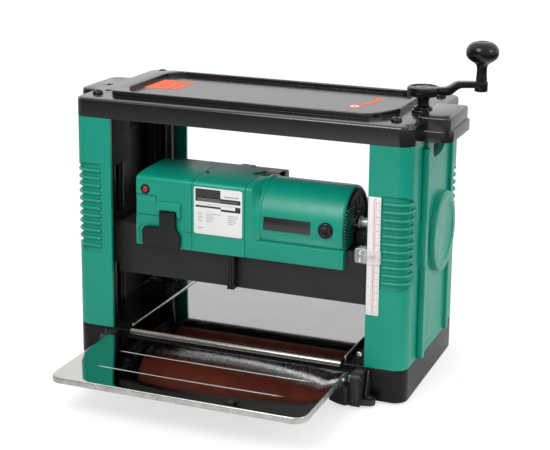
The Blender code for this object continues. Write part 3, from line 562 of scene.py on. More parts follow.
def dress(node_name, mat, smooth=35):
    """A CAD node that keeps its shape gets a finish and smooth shading over its facets."""
    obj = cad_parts[node_name]
    obj.data.materials.clear()
    obj.data.materials.append(mat)
    weld = obj.modifiers.new("weld", "WELD")
    weld.merge_threshold = 0.000002
    obj.data.shade_smooth()
    tree = bpy.data.node_groups.get("smooth_by_angle_here")
    if tree is None:
        tree = bpy.data.node_groups.new("smooth_by_angle_here", "GeometryNodeTree")
        tree.interface.new_socket("Geometry", in_out="INPUT", socket_type="NodeSocketGeometry")
        tree.interface.new_socket("Geometry", in_out="OUTPUT", socket_type="NodeSocketGeometry")
        enter = tree.nodes.new("NodeGroupInput")
        leave = tree.nodes.new("NodeGroupOutput")
        angle = tree.nodes.new("GeometryNodeInputMeshEdgeAngle")
        compare = tree.nodes.new("FunctionNodeCompare")
        compare.data_type = "FLOAT"
        compare.operation = "LESS_EQUAL"
        compare.inputs[1].default_value = math.radians(smooth)
        shade = tree.nodes.new("GeometryNodeSetShadeSmooth")
        shade.domain = "EDGE"
        tree.links.new(enter.outputs[0], shade.inputs["Geometry"])
        tree.links.new(angle.outputs["Unsigned Angle"], compare.inputs[0])
        tree.links.new(compare.outputs["Result"], shade.inputs["Shade Smooth"])
        tree.links.new(shade.outputs["Geometry"], leave.inputs[0])
    soft = obj.modifiers.new("soft", "NODES")
    soft.node_group = tree


def tube(bm, points, radius, sides=10, taper=True, squash=1.0):
    """A closed sweep of a round section along 3-D points, in millimetres; its ends are closed flat, or to a point where
    the radius is zero.
    """
    pts = [Vector(p) * MM for p in points]
    n = len(pts)
    rings = []
    up = None
    for i, p in enumerate(pts):
        heading = (pts[min(i + 1, n - 1)] - pts[max(i - 1, 0)]).normalized()
        if up is None:
            up = heading.orthogonal().normalized()
        up = (up - heading * up.dot(heading)).normalized()
        side = heading.cross(up)
        r = radius[i] if isinstance(radius, (list, tuple)) else radius
        r *= MM
        if r <= 1e-7:
            rings.append([bm.verts.new(p)])
        else:
            rings.append(
                [
                    bm.verts.new(
                        p
                        + up * r * math.cos(2 * math.pi * k / sides)
                        + side * r * squash * math.sin(2 * math.pi * k / sides)
                    )
                    for k in range(sides)
                ]
            )
    for a, b in zip(rings, rings[1:]):
        for k in range(sides):
            j = (k + 1) % sides
            if len(a) == 1:
                bm.faces.new((a[0], b[k], b[j]))
            elif len(b) == 1:
                bm.faces.new((a[k], a[j], b[0]))
            else:
                bm.faces.new((a[k], a[j], b[j], b[k]))
    for ring, flip in ((rings[0], True), (rings[-1], False)):
        if len(ring) > 1:
            bm.faces.new(ring[::-1] if flip else ring)


def screw_head(bm, at, along, radius, height, steps=28, drive="cross"):
    """A pan head standing off a face: along is a unit axis that points away from the face."""
    profile = [(0, height), (radius * 0.45, height), (radius * 0.78, height * 0.86), (radius * 0.96, height * 0.5),
               (radius, height * 0.12), (radius, -0.6), (0, -0.6)]
    direction = Vector(along).normalized()
    place = Matrix.Translation(Vector(at) * MM) @ direction.to_track_quat("Z", "Y").to_matrix().to_4x4()
    add_lathe(bm, profile, (0, 0, 0), "z", steps, place)
    return place


# The layout is drawn about the middle of the bed; the frame says where that is.
(BED0, BED1), _, _ = span_of("bed_plate")
LAYOUT = Matrix.Translation(((BED0 + BED1) / 2 * MM, 0, 0))
_put = put


def put(obj, body, *nodes):
    obj.data.transform(LAYOUT @ obj.matrix_world)
    obj.matrix_world = Matrix.Identity(4)
    return _put(obj, body, *nodes)


BODY_X, BODY_Y, CORNER_R = 261.0, 132.0, 20.0
IN_X = 200.4
HOUSING_TOP = span_of("left_housing")[2][1]
HOUSING_LOW = 52.3
SCREW_X, SCREW_Y = 244.0, -24.0
CUT_Z = 162.5


def top_round(obj, level, radius, steps=4):
    """Rounds the rim of a piece at one level."""
    bm = bmesh.new()
    bm.from_mesh(obj.data)
    bm.normal_update()
    edges = [
        e
        for e in bm.edges
        if all(abs(v.co.z - level * MM) < 1e-6 for v in e.verts)
        and len(e.link_faces) == 2
        and e.calc_face_angle(0) > math.radians(40)
    ]
    bmesh.ops.bevel(bm, geom=edges, offset=radius * MM, segments=steps, profile=0.5, affect="EDGES")
    bm.to_mesh(obj.data)
    bm.free()
    obj.data.shade_smooth()
    obj.data.set_sharp_from_angle(angle=math.radians(38))
    return obj


def end_round(obj, level, radius, steps=3):
    """Rounds the rim of a piece at one X position."""
    bm = bmesh.new()
    bm.from_mesh(obj.data)
    bm.normal_update()
    edges = [
        e
        for e in bm.edges
        if all(abs(v.co.x - level * MM) < 1e-6 for v in e.verts)
        and len(e.link_faces) == 2
        and e.calc_face_angle(0) > math.radians(40)
    ]
    bmesh.ops.bevel(bm, geom=edges, offset=radius * MM, segments=steps, profile=0.5, affect="EDGES")
    bm.to_mesh(obj.data)
    bm.free()
    obj.data.shade_smooth()
    obj.data.set_sharp_from_angle(angle=math.radians(38))
    return obj


# ===================================================================== base
base = block("base_casting", base_black, (-BODY_X, BODY_X), (-BODY_Y, BODY_Y), (3, 52), big=CORNER_R, small=1.4,
             big_steps=14)
shaped(
    base,
    cuts=[
        block("t1", None, (-257.5, 257.5), (-75, 75), (0, 46)),
        block("t2", None, (-205, 205), (-123, 123), (-1, 46)),
        *[lathe("t", None, [(0, 59), (8.5, 59), (8.5, 39), (0, 39)], (s * SCREW_X, SCREW_Y, 0), steps=40)
          for s in (-1, 1)],
        # shallow arches along the lower edges, between the feet
        *[prism("t3", None, [[(-188, -4), (188, -4)] + arc((0, -702), 708.2, 75, 105, 24)], -140, 140, "xz")],
    ],
)
put(base, "frame", "base_frame")

for end, sy in (("front", -1), ("rear", 1)):
    for side, sx in (("left", -1), ("right", 1)):
        pad = lathe(f"{end}_{side}_rubber_pad", rubber,
                    [(0, 2.7), (14.2, 2.7), (15, 1.9), (15, 1.1), (13.6, 0.15), (11.5, 0.0), (6, 0.0), (4.5, 0.9),
                     (0, 0.9)],
                    (sx * 234, sy * 105, 0), steps=56)
        put(pad, "frame", f"{end}_{side}_foot")
    # screw heads under the base, seen from below
screw_plugs = bmesh.new()
for sx in (-1, 1):
    for sy in (-1, 1):
        screw_head(screw_plugs, (sx * 250, sy * 62, 3.4), (0, 0, -1), 3.6, 2.0)
plugs = made("base_cover_screws", screw_plugs, zinc_bolt)
put(plugs, "frame")

# ---------------------------------------------------------------- bed plate
OUT_R, IN_R = 9.0, 3.0
bed = prism(
    "mirror_bed",
    bed_steel,
    [
        arc((-BODY_Y, 58.6 - OUT_R), OUT_R, 180, 90, 16)
        + arc((BODY_Y, 58.6 - OUT_R), OUT_R, 90, 0, 16)
        + arc((BODY_Y, 58.6 - OUT_R), IN_R, 0, 90, 10)
        + arc((-BODY_Y, 58.6 - OUT_R), IN_R, 90, 180, 10)
    ],
    -167.6,
    167.6,
    "yz",
)
bed.data.materials.append(bed_lip)
for face in bed.data.polygons:
    if face.normal.z < 0.97:
        face.material_index = 1
put(bed, "frame", "bed_plate")
edge_strip = bmesh.new()
for s in (-1, 1):
    add_block(edge_strip, (s * 169.9 - 1.6, s * 169.9 + 1.6), (-126, 126), (52.4, 60.4), small=0.7)
guide = made("bed_side_strips", edge_strip, zinc_bolt)
put(guide, "frame")

# ================================================================= housings
def wrap(s, depth, side=1, end=-1, turn_y=BODY_Y - CORNER_R, turn_x=BODY_X - CORNER_R):
    """A point on the outside of a housing: s runs along the front from x = 200 round the corner to the side."""
    flat = turn_x - 200.0
    bend = CORNER_R * math.pi / 2
    if s <= flat:
        x, y = 200.0 + s, BODY_Y + depth
    elif s <= flat + bend:
        a = (s - flat) / CORNER_R
        x = turn_x + (CORNER_R + depth) * math.sin(a)
        y = turn_y + (CORNER_R + depth) * math.cos(a)
    else:
        x, y = BODY_X + depth, turn_y - (s - flat - bend)
    return side * x, end * y


def grip_end(z, low, high, reach, drop=26.0, run=46.0):
    """How far round the corner the grip goes at a level: a D shape."""
    near = min(z - low, high - z) + 1.3
    if near >= drop:
        return reach
    return reach - run * (1.0 - math.sqrt(max(0.0, 1.0 - ((drop - near) / drop) ** 2)))


def grip_pocket(low, high, start, reach, side, end, depth=3.6, rows=30, cols=34):
    """The solid to take out of a housing for its finger grip."""
    bm = bmesh.new()
    grid = []
    for i in range(rows + 1):
        z = low + (high - low) * (0.5 - 0.5 * math.cos(math.pi * i / rows))
        stop = grip_end(z, low, high, reach)
        row = []
        for j in range(cols + 1):
            s = start + (stop - start) * j / cols
            fade = min(1.0, (cols - j) / 4.0, (i + 0.25) / 2.2, (rows - i + 0.25) / 2.2)
            fade *= 0.62 + 0.38 * min(1.0, max(0.0, (s - start) / (44.0 - start)))
            outer = wrap(s, 4.0, side, end)
            inner = wrap(s, -depth * fade, side, end)
            row.append((bm.verts.new((outer[0] * MM, outer[1] * MM, z * MM)),
                        bm.verts.new((inner[0] * MM, inner[1] * MM, z * MM))))
        grid.append(row)
    for i in range(rows):
        for j in range(cols):
            for k in (0, 1):
                quad = (grid[i][j][k], grid[i][j + 1][k], grid[i + 1][j + 1][k], grid[i + 1][j][k])
                bm.faces.new(quad if k else quad[::-1])
    for j in range(cols):
        for i in (0, rows):
            bm.faces.new((grid[i][j][0], grid[i][j][1], grid[i][j + 1][1], grid[i][j + 1][0]))
    for i in range(rows):
        for j in (0, cols):
            bm.faces.new((grid[i][j][0], grid[i][j][1], grid[i + 1][j][1], grid[i + 1][j][0]))
    return made("pocket", bm)


def grip_ribs(bm, low, high, start, reach, side, end, count=11, radius=2.4, proud=0.75):
    """Finger ribs that cross the pocket and stand a little proud of the corner."""
    for i in range(count):
        z = low + (high - low) * (i + 1.0) / (count + 1.0)
        stop = grip_end(z, low, high, reach) - 1.5
        points, sizes = [], []
        steps = 30
        for j in range(steps + 1):
            t = j / steps
            s = start + 1.0 + (stop - start - 1.0) * t
            x, y = wrap(s, proud - radius * (1.0 - 0.35 * max(0.0, 1 - (s - start) / 24.0)), side, end)
            points.append((x, y, z))
            fade = min(1.0, (1 - t) * steps / 3.0 + 0.12, t * steps / 1.5 + 0.4)
            sizes.append(radius * math.sqrt(fade))
        tube(bm, points, sizes, 12)


GRIP = {"left": (167.0, 306.0, 17.0), "right": (168.0, 305.0, 20.5)}
for side, s in (("left", -1), ("right", 1)):

    def span(a, b, s=s):
        return (a, b) if s > 0 else (-b, -a)

    low, high, start = GRIP[side]
    reach = 41 + CORNER_R * math.pi / 2 + (7.0 if s < 0 else 12.0)
    shell = block(f"{side}_shell", green, span(IN_X - 20, BODY_X), (-BODY_Y, BODY_Y), (HOUSING_LOW, HOUSING_TOP),
                  big=CORNER_R, big_steps=16)
    bulge = [(-76.5, 188), (-76.5, 260)] + [
        (-76.5 - 6.2 * math.cos(math.radians(a)), 224 + 33 * math.sin(math.radians(a))) for a in range(80, -81, -8)
    ]
    adds = [
        block("t", None, span(BODY_X - 2.5, 265.0), (-66.5, 56.5), (HOUSING_LOW, 372.0), small=1.3),
        prism("t", None, [rounded((-77, -65), (HOUSING_LOW, 365), 5.9, 10)], s * (BODY_X + 0.3), s * 270.0, "yz", edge=1.3,
              edge_steps=3),
        prism("t", None, [rounded((55, 67), (HOUSING_LOW, 365), 5.9, 10)], s * (BODY_X + 0.3), s * 270.0, "yz", edge=1.3,
              edge_steps=3),
        prism("t", None, [softened([(-76, 186), (-66, 186), (-66, 262), (-76, 262)] +
                                   [(-76 - 6.4 * math.cos(math.radians(a)), 224 + 34 * math.sin(math.radians(a)))
                                    for a in range(85, -86, -10)], 1.0, 2)],
              s * (BODY_X - 1), s * 270.4, "yz", edge=1.6, edge_steps=3),
        lathe("t", None,
              [(0, 14.6), (43, 14.6), (43.9, 15.0), (44.4, 15.0 + 0.55), (45, 16.0), (58.0, 16.0), (59.3, 15.5),
               (60, 14.2), (60, 6), (0, 6)],
              (s * (BODY_X - 3.0), 13, 222), "x", 120)
        if s > 0
        else lathe("t", None,
                   [(0, -6), (60, -6), (60, -14.2), (59.3, -15.5), (58.0, -16.0), (45, -16.0), (44.4, -15.55),
                    (43.9, -15.0), (43, -14.6), (0, -14.6)],
                   (s * (BODY_X - 3.0), 13, 222), "x", 120),
        block("t", None, span(BODY_X - 2.5, BODY_X + 3), (-75, -67), (HOUSING_LOW, 362)),
        block("t", None, span(BODY_X - 2.5, BODY_X + 3), (57, 65), (HOUSING_LOW, 362)),
    ]
    hold_shape = [(-34, 392), (54, 392), (52, 365)] + arc((10, 371), 41, -8, -172, 24)
    hold_shape = [(a, max(b, 341.0)) for a, b in hold_shape]
    cuts = [
        block("t", None, span(150, BODY_X - 5.0), (-BODY_Y + 5.0, BODY_Y - 5.0), (0, 420), big=CORNER_R - 5.0,
              big_steps=16),
        block("t", None, span(150, IN_X), (-200, 200), (-5, 425)),
        prism("t", None, [softened([(-36, 388), (58, 388), (54, 374), (42, 359.5), (26, 349), (8, 342.6), (-14, 340.6), (-30, 342.5),
                                      (-36, 350)], 5, 4)],
              s * 250, s * 282, "yz"),
        grip_pocket(low, high, start, reach, s, -1),
        grip_pocket(low, high, start, reach, s, 1),
    ]
    shaped(shell, cuts, adds)
    put(shell, "frame", f"{side}_housing")
    ribs = bmesh.new()
    grip_ribs(ribs, low, high, start, reach, s, -1)
    grip_ribs(ribs, low, high, start, reach, s, 1)
    put(made(f"{side}_grip_ribs", ribs, green), "frame")
    # inner lining: the folded plate of the side frame, seen high up beside the opening. Its near-black finish is partly
    # the plate's own dark coat and partly painted shade from inside the housing
    lining = bmesh.new()
    add_block(lining, tuple(sorted((s * 204.2, s * 206.4))), (-127.0, -62.0 if s < 0 else -100.0), (300, 372), small=0.5)
    add_block(lining, tuple(sorted((s * 204.2, s * 206.4))), (-127.0, -116.4), (60, 300.2), small=0.5)
    put(made(f"{side}_frame_lining", lining, shadow_black), "frame")
    # the floor of the hand hold
    floor_of_hold = block(f"{side}_hand_hold_floor", black, span(252.7, 256.3), (-47.0, 68.0), (328, 374.5), big=6,
                          along="x", small=0.6, big_steps=5)
    put(floor_of_hold, "frame")

# ================================================================ top cover
cover = block("cover_moulding", cover_black, (-BODY_X, BODY_X), (-BODY_Y, BODY_Y), (376, 404), big=CORNER_R,
              big_steps=16)
top_round(cover, 404, 4.6, 5)
lobes = block("t", None, (-290, 250), (-63, 47), (378, 403.4), big=16, big_steps=12)
top_round(lobes, 403.4, 3.4, 4)
flanges = block("t", None, (-287, 240), (-84, 55), (376, 391.5), big=20, big_steps=14)
top_round(flanges, 391.5, 2.4, 3)
right_lobe = block("t", None, (252, 299), (-83, 26), (378, 410.2), big=8, big_steps=8)
top_round(right_lobe, 410.2, 2.0, 4)
right_flange = block("t", None, (230, 302.2), (-84.4, 34), (376, 391.6), big=16, big_steps=12)
top_round(right_flange, 391.6, 1.6, 3)
RIM_OUT = softened([(-212, -101), (185, -101), (202, -80), (217, -50), (217, 66), (190, 93), (-208, 93), (-229, 72),
                    (-229, -72)], 7, 5)
RIM_IN = softened([(-186, -94), (181, -94), (195, -77), (210, -48), (210, 63), (187, 86), (-186, 86), (-204, 66),
                   (-204, -62)], 6, 5)
rim = prism("t", None, [RIM_OUT, RIM_IN], 401, 412, edge=1.5, edge_steps=3)
panel = prism("t", None, [RIM_OUT], 400.5, 405.6)
boss = lathe("t", None, fillet(16, 400, 409, 1.0), (SCREW_X, SCREW_Y, 0), steps=64)
BOLTS = {"front_left": (-242, -91), "rear_left": (-232, 106), "front_right": (226, -93), "rear_right": (236, 104)}
cuts = [
    block("t", None, (-252, 252), (-80, 80), (370, 397.5)),
    block("t", None, (-205, 205), (-124, 124), (369, 397.5)),
    block("t", None, (-283, -266), (-52, 40), (368, 385), big=6),
    block("t", None, (266, 296), (-52, 28), (368, 385), big=6),
    lathe("t", None, [(0, 420), (7.6, 420), (7.6, 380), (0, 380)], (SCREW_X, SCREW_Y, 0), steps=48),
    *[lathe("t", None, [(0, 420), (3.4, 420), (3.4, 380), (0, 380)], (x, y, 0), steps=32) for x, y in BOLTS.values()],
    # two pockets moulded beside the left end of the rim, and one beside the right
    block("t", None, (-243, -234), (-70, -60), (401.8, 408), big=4.0, big_steps=6),
    block("t", None, (-265, -255), (-26, -13), (401.8, 408), big=4.5, big_steps=6),
    block("t", None, (225, 233), (28, 48), (402.4, 408), big=3.8, big_steps=6),
]
shaped(cover, cuts, [lobes, flanges, right_flange, right_lobe, panel, rim, boss])
put(cover, "frame", "top_cover")
for where, (x, y) in BOLTS.items():
    bolt = lathe(f"{where}_button_bolt", gloss,
                 [(0, 405.6), (2.6, 405.6), (2.8, 408.9), (3.6, 409.2), (5.0, 408.9), (6.6, 407.8), (7.7, 406.0),
                  (8.0, 404.2), (3.0, 404.1), (3.0, 389), (0, 389)],
                 (x, y, 0), steps=48)
    put(bolt, "frame", f"{where}_cover_bolt")

# Coloured films on the cover panel: a plain block of bands, and a turning arrow.
film = bmesh.new()
for i, (x0, x1) in enumerate(((-197, -176), (-174.5, -157), (-155.5, -143))):
    add_block(film, (x0, x1), (-30 + i * 3, 43 - i * 2), (405.5, 405.78), big=2.0, big_steps=4)
put(made("cover_colour_bands", film, orange), "frame")


def arrow(centre, radius, width, start, end, head):
    """The outline of an arrow bent along an arc."""
    outer = arc(centre, radius + width / 2, start, end, 20)
    inner = arc(centre, radius - width / 2, end, start, 20)
    tip = arc(centre, radius, end + head, end + head, 1)[:1]
    barb_out = arc(centre, radius + width * 1.1, end, end, 1)[:1]
    barb_in = arc(centre, radius - width * 1.1, end, end, 1)[:1]
    return outer + barb_out + tip + barb_in + inner


mark = joined(
    "cover_turn_arrow",
    prism("t", orange, [arrow((84, 22), 76, 7.5, -34, 6, 14)], 405.5, 405.76),
    prism("t", orange, [circle((144.0, -30.5), 10.6, 40)], 405.5, 405.76),
    prism("t", label, [circle((144.0, -30.5), 6.6, 32), circle((144.0, -30.5), 3.4, 24)], 405.6, 405.84),
)
put(mark, "frame")

# ============================================================ columns, screws
for end in ("front", "rear"):
    for side in ("left", "right"):
        name = f"{end}_{side}_column"
        (x0, x1), (y0, y1), (z0, z1) = span_of(name)
        off = (BED0 + BED1) / 2
        post = lathe(
            f"{end}_{side}_ground_post", oiled,
            [(0, z1), (9.8, z1), (11, z1 - 1.2), (11, z0 + 1.2), (9.8, z0), (0, z0)],
            ((x0 + x1) / 2 - off, (y0 + y1) / 2, 0), steps=72)
        put(post, "frame", name)


def thread(name, mat, x, y, low, high, core_low, core_high, major=7.0, minor=6.1, pitch=4.0, sides=24):
    """A screw: a cut thread between two plain journals."""
    bm = bmesh.new()
    turns = (high - low) / pitch
    rows = int(turns * 4)
    rings = []
    for i in range(rows + 1):
        z = low + (high - low) * i / rows
        ring = []
        for k in range(sides):
            phase = (z / pitch - k / sides) % 1.0
            depth = min(1.0, max(0.0, 2.0 - abs(phase - 0.5) * 5.2))
            edge_fade = min(1.0, i / 4, (rows - i) / 4)
            r = minor + (major - minor) * (depth if edge_fade >= 1 else edge_fade * depth)
            a = 2 * math.pi * k / sides
            ring.append(bm.verts.new(((x + r * math.cos(a)) * MM, (y + r * math.sin(a)) * MM, z * MM)))
        rings.append(ring)
    for a, b in zip(rings, rings[1:]):
        for k in range(sides):
            j = (k + 1) % sides
            bm.faces.new((a[k], a[j], b[j], b[k]))
    bm.faces.new(rings[0][::-1])
    bm.faces.new(rings[-1])
    add_lathe(bm, [(0, low + 0.5), (6.9, low + 0.5), (6.9, core_low + 0.8), (6.1, core_low), (0, core_low)], (x, y, 0),
              steps=40)
    add_lathe(bm, [(0, core_high), (6.1, core_high), (6.9, core_high - 0.8), (6.9, high - 0.5), (0, high - 0.5)],
              (x, y, 0), steps=40)
    return made(name, bm, mat, 50)


put(thread("right_threaded_screw", oiled, SCREW_X, SCREW_Y, 60, 372, 14, 426.5), "crank", "right_lead_screw")
put(thread("left_threaded_screw", oiled, -SCREW_X, SCREW_Y, 60, 352, 14, 370), "left_screw", "left_lead_screw")

# ===================================================================== crank
ARM_ANGLE, ARM_R = math.radians(21.5), 81.7
ARM = Matrix.Translation((SCREW_X * MM, SCREW_Y * MM, 0)) @ Matrix.Rotation(ARM_ANGLE, 4, "Z")
arm_side = softened([(-20, 430), (-20, 441), (33, 441), (47, 450), (ARM_R + 2, 450), (ARM_R + 2, 441.2), (51, 441),
                     (38, 430)], 5, 6)
arm = prism("cranked_arm", gloss, [arm_side], -7.6, 7.6, "xz", edge=2.0, edge_steps=4, place=ARM)
hub = lathe("t", None, [(0, 440.4), (12.4, 440.4), (12.4, 441.2), (13.4, 441.2), (13.4, 440.2), (18.0, 440.2),
                        (18.6, 441.4), (19.4, 442.0), (21.6, 442.0), (22.8, 441.2), (23.3, 439.6), (23.3, 432.2),
                        (22.6, 430.2), (20.2, 428.9), (0, 428.9)], steps=96, place=ARM)
eye = lathe("t", None, fillet(9.4, 435.6, 450.6, 1.6, 4), (ARM_R, 0, 0), steps=56, place=ARM)
neck = lathe("t", None, [(0, 431.2), (9.7, 431.2), (9.7, 424), (8.6, 423), (8.6, 416), (9.7, 415), (10.2, 414.2),
                         (13.4, 412.6), (13.8, 411.6), (13.8, 409.6), (13.4, 409.25), (0, 409.25)], steps=56,
             place=ARM)
pin = lathe("t", None, fillet(3.0, 445, 479, 0.6), (ARM_R, 0, 0), steps=32, place=ARM)
boss_web = prism("t", None, [softened([(14.7, 432.6), (14.7, 438.9), (34, 438.9), (34, 432.6)], 1.6, 3)], -10.3,
                 10.3, "xz", edge=1.4, place=ARM)
socket = lathe("t", None, [(0, 427), (7.3, 427), (7.3, 405), (0, 405)], (SCREW_X, SCREW_Y, 0), steps=48)
for part in (hub, boss_web, neck, eye, pin):
    shaped(arm, [], [part])
shaped(arm, [socket])
put(arm, "crank", "crank_handle")
insert = joined(
    "crank_hub_insert",
    lathe("t", plate_black, [(0, 441.5), (4.2, 441.5), (4.6, 441.2), (11.2, 441.2), (11.8, 440.9), (12.0, 440.3),
                             (0, 440.3)], steps=72, place=ARM),
    lathe("t", grey_ink, [(8.6, 441.32), (10.2, 441.32), (10.2, 441.1), (8.6, 441.1), (8.6, 441.32)], steps=72,
          place=ARM),
)
put(insert, "crank")

knob_at = ARM @ Vector((ARM_R * MM, 0, 0))
kx, ky = knob_at.x / MM, knob_at.y / MM
outline = [(0, 505.9), (7.2, 505.9), (8.4, 506.5), (9.6, 506.9), (12.5, 506.2), (16, 504.6), (19.2, 502.0),
           (21.8, 498.4), (23.2, 494.6), (23.4, 490.6), (22.8, 486.8), (20.8, 483.2), (17.2, 480.0), (13.0, 477.6),
           (9.6, 475.2)]
knob = bmesh.new()
steps = 96
rings = []
stem = outline + [(7.9, 472.6), (7.3, 469.0), (7.2, 464.0), (7.5, 458.0), (8.0, 453.2), (7.6, 451.1), (4.0, 451.0),
                  (3.5, 451.6), (3.5, 480), (0, 480)]
for r, h in stem:
    if r == 0:
        rings.append([knob.verts.new((kx * MM, ky * MM, h * MM))])
        continue
    ring = []
    for i in range(steps):
        a = 2 * math.pi * i / steps
        rr = r
        if 452 < h < 476 and r > 5:
            rr -= 0.95 * max(0.0, math.cos(8 * a)) ** 0.6 * min(1.0, (476 - h) / 4) * min(1.0, (h - 451.8) / 2)
        ring.append(knob.verts.new(((kx + rr * math.cos(a)) * MM, (ky + rr * math.sin(a)) * MM, h * MM)))
    rings.append(ring)
for a, b in zip(rings, rings[1:]):
    for i in range(steps):
        j = (i + 1) % steps
        if len(a) == 1:
            knob.faces.new((a[0], b[i], b[j]))
        elif len(b) == 1:
            knob.faces.new((a[i], a[j], b[0]))
        else:
            knob.faces.new((a[i], a[j], b[j], b[i]))
put(made("mushroom_knob", knob, gloss, 60), "knob", "crank_knob")

# ============================================================ scale on the housing
strip = block("scale_strip", paper, (201.2, 219.6), (-133.3, -132.25), (131, 303), big=1.2, along="y", small=0.25,
              big_steps=4, small_steps=2)
put(strip, "frame", "depth_scale")
ticks, red_ticks = bmesh.new(), bmesh.new()
for i in range(0, 83):
    z = 134.5 + i * 2.0
    long = 5.6 if i % 10 == 0 else (4.2 if i % 5 == 0 else 2.6)
    thick = 0.55 if i % 5 == 0 else 0.3
    add_block(ticks, (218.6 - long, 218.6), (-133.42, -133.2), (z - thick / 2, z + thick / 2))
for i in range(0, 66):
    z = 134.5 + i * 2.54
    long = 4.6 if i % 10 == 0 else (3.4 if i % 5 == 0 else 2.2)
    thick = 0.34 if i % 5 == 0 else 0.22
    add_block(red_ticks, (202.2, 202.2 + long), (-133.42, -133.2), (z - thick / 2, z + thick / 2))
add_block(red_ticks, (212.9, 213.3), (-133.4, -133.2), (132.4, 301.6))
for x, w in ((210.4, 0.34), (208.3, 0.14), (211.5, 0.1)):
    add_block(red_ticks, (x - w, x + w), (-133.4, -133.2), (132.4, 301.6))
put(made("scale_ticks", ticks, grey_ink), "frame")
put(made("scale_red_ticks", red_ticks, red_ink), "frame")

# ================================================================== carriage
FACE = -130.0
profile = [(-130, 190), (-115.3, 190), (-115.3, 215.3), (-32, 215.3), (-32, 297.6), (-33.4, 299), (-84, 298.9),
           (-98, 298.2), (-112, 296.9), (-122, 295.4), (-125.6, 294.5), (-127.7, 293.2), (-129.2, 291.4), (-129.9, 289.4),
           (-130, 287.4)]
switch_box = prism("switch_moulding", green, [profile], -159.5, 14.35, "yz")
end_round(switch_box, -159.5, 0.9, 3)
end_round(switch_box, 14.35, 0.6, 2)


def band(x0, x1, depth, outer=2.0):
    """A cutter that scores a line round the front and top of the switch moulding."""
    out = [(-130 - outer, 186)] + arc((-118, 286), 12 + outer, 180, 98, 8) + [(-28, 299 + outer)]
    back = [(-28, 299 - depth), (-98, 298.2 - depth), (-112, 296.9 - depth), (-122, 295.4 - depth),
            (-125.2, 294.2 - depth * 0.9), (-127.2 + depth * 0.6, 292.6 - depth * 0.7), (-130 + depth, 288),
            (-130 + depth, 186)]
    return prism("t", None, [out + back], x0, x1, "yz")


def ring_groove(x, z, radius, width, depth):
    """A cutter for a rectangular groove in the front face."""
    outer = rounded(x, z, radius, 5)
    inner = rounded((x[0] + width, x[1] - width), (z[0] + width, z[1] - width), max(0.4, radius - width), 5)
    return prism("t", None, [outer, inner], FACE - 3, FACE + depth, "xz")


hood_outer = softened([(-125.0, 238.0), (-125.0, 258.8), (-86.2, 258.8), (-86.2, 234.5), (-92.2, 239.5),
                       (-92.2, 246.8), (-119.6, 246.8), (-119.6, 240.0)], 2.2, 4)
hood = prism("t", None, [hood_outer], -134.6, -129.0, "xz", edge=1.5, edge_steps=3)
lip = prism("t", None, [softened([(-159.1, 190.2), (-159.1, 232), (-152.5, 226.5), (-149.4, 223.6), (-154.6, 215.5),
                                  (-153.4, 190.2)], 1.5, 3)], -131.6, -129.0, "xz", edge=0.7)
side_panel = prism("t", None, [softened([(-120, 232), (-120, 286), (-44, 286), (-44, 232)], 4, 4)], -160.1, -158.5, "yz",
                   edge=0.5)
shaped(
    switch_box,
    [
        band(-69.6, -68.7, 1.1),
        block("t", None, (-85, 20), (-134, FACE + 0.9), (216.6, 217.6)),
        ring_groove((-158.9, -125.4), (235.8, 267.6), 2.0, 1.3, 1.3),
        block("t", None, (-163, -157.1), (-134, FACE + 1.2), (236.0, 267.4)),
        block("t", None, (-161, -126.9), (-134, FACE + 0.5), (237.2, 266.2)),
        lathe("t", None, [(0, 24), (5.6, 24), (5.6, -6), (0, -6)], (-144.2, -136, 275.3), "y", 40),
        block("t", None, (-155.5, 11), (-113.5, -36), (218, 290)),
    ],
    [hood, lip, side_panel],
)
put(switch_box, "carriage", "switch_housing")
# painted shade: a deep-black sheet behind the paddle stands for the shade in the gap round it
paddle_gap_shade = prism("paddle_gap_painted_shade", shadow_black,
             [softened([(-145.4, 191.5), (-88.0, 191.5), (-87.0, 211.5), (-94.5, 220.8), (-94.5, 244.4),
                        (-117.5, 244.4), (-117.5, 220.8), (-141.5, 220.3), (-146.4, 213.5)], 2, 3)],
             -130.35, -129.6, "xz")
put(paddle_gap_shade, "carriage")
detail = bmesh.new()
screw_head(detail, (-63.6, -85.2, 298.7), (0, 0, 1), 3.4, 1.5)
put(made("switch_top_screw", detail, gloss), "carriage")
# painted shade: seven near-black tubes on the top of the moulding stand for the shade inside its slits
slit = bmesh.new()
for i in range(7):
    x = -2.5 + i * 1.9
    tube(slit, [(x - 10 + 12.5, -66 + i * 3.2, 299.0), (x + 12.5, -68.5 + i * 3.2, 299.0)], 0.55, 8)
put(made("switch_top_slits_painted_shade", slit, shadow_black), "carriage")
collar = lathe("reset_collar", gloss, [(5.7, 131.2), (6.9, 131.2), (7.4, 130.7), (7.4, 129.6), (5.7, 129.6),
                                       (5.7, 131.2)], (-144.2, 0, 275.3), "y", 48)
collar.data.transform(Matrix.Diagonal((1, -1, 1, 1)))
collar.data.flip_normals()
put(collar, "carriage")

# Front label: plain bands and rules, nothing readable.
LX0, LX1, LZ0, LZ1 = -65.5, 10.8, 217.6, 288.0
lab = prism("front_label", label, [rounded((LX0, LX1), (LZ0, LZ1), 3.4, 6)], FACE - 0.42, FACE + 0.3, "xz", edge=0.12)
put(lab, "carriage")
ink, pale = bmesh.new(), bmesh.new()


def on_label(bm, u0, u1, v0, v1, lift=0.5, big=0.0):
    x0, x1 = LX0 + (LX1 - LX0) * u0, LX0 + (LX1 - LX0) * u1
    z0, z1 = LZ1 - (LZ1 - LZ0) * v1, LZ1 - (LZ1 - LZ0) * v0
    add_block(bm, (x0, x1), (FACE - lift, FACE - 0.3), (z0, z1), big=big, along="y")


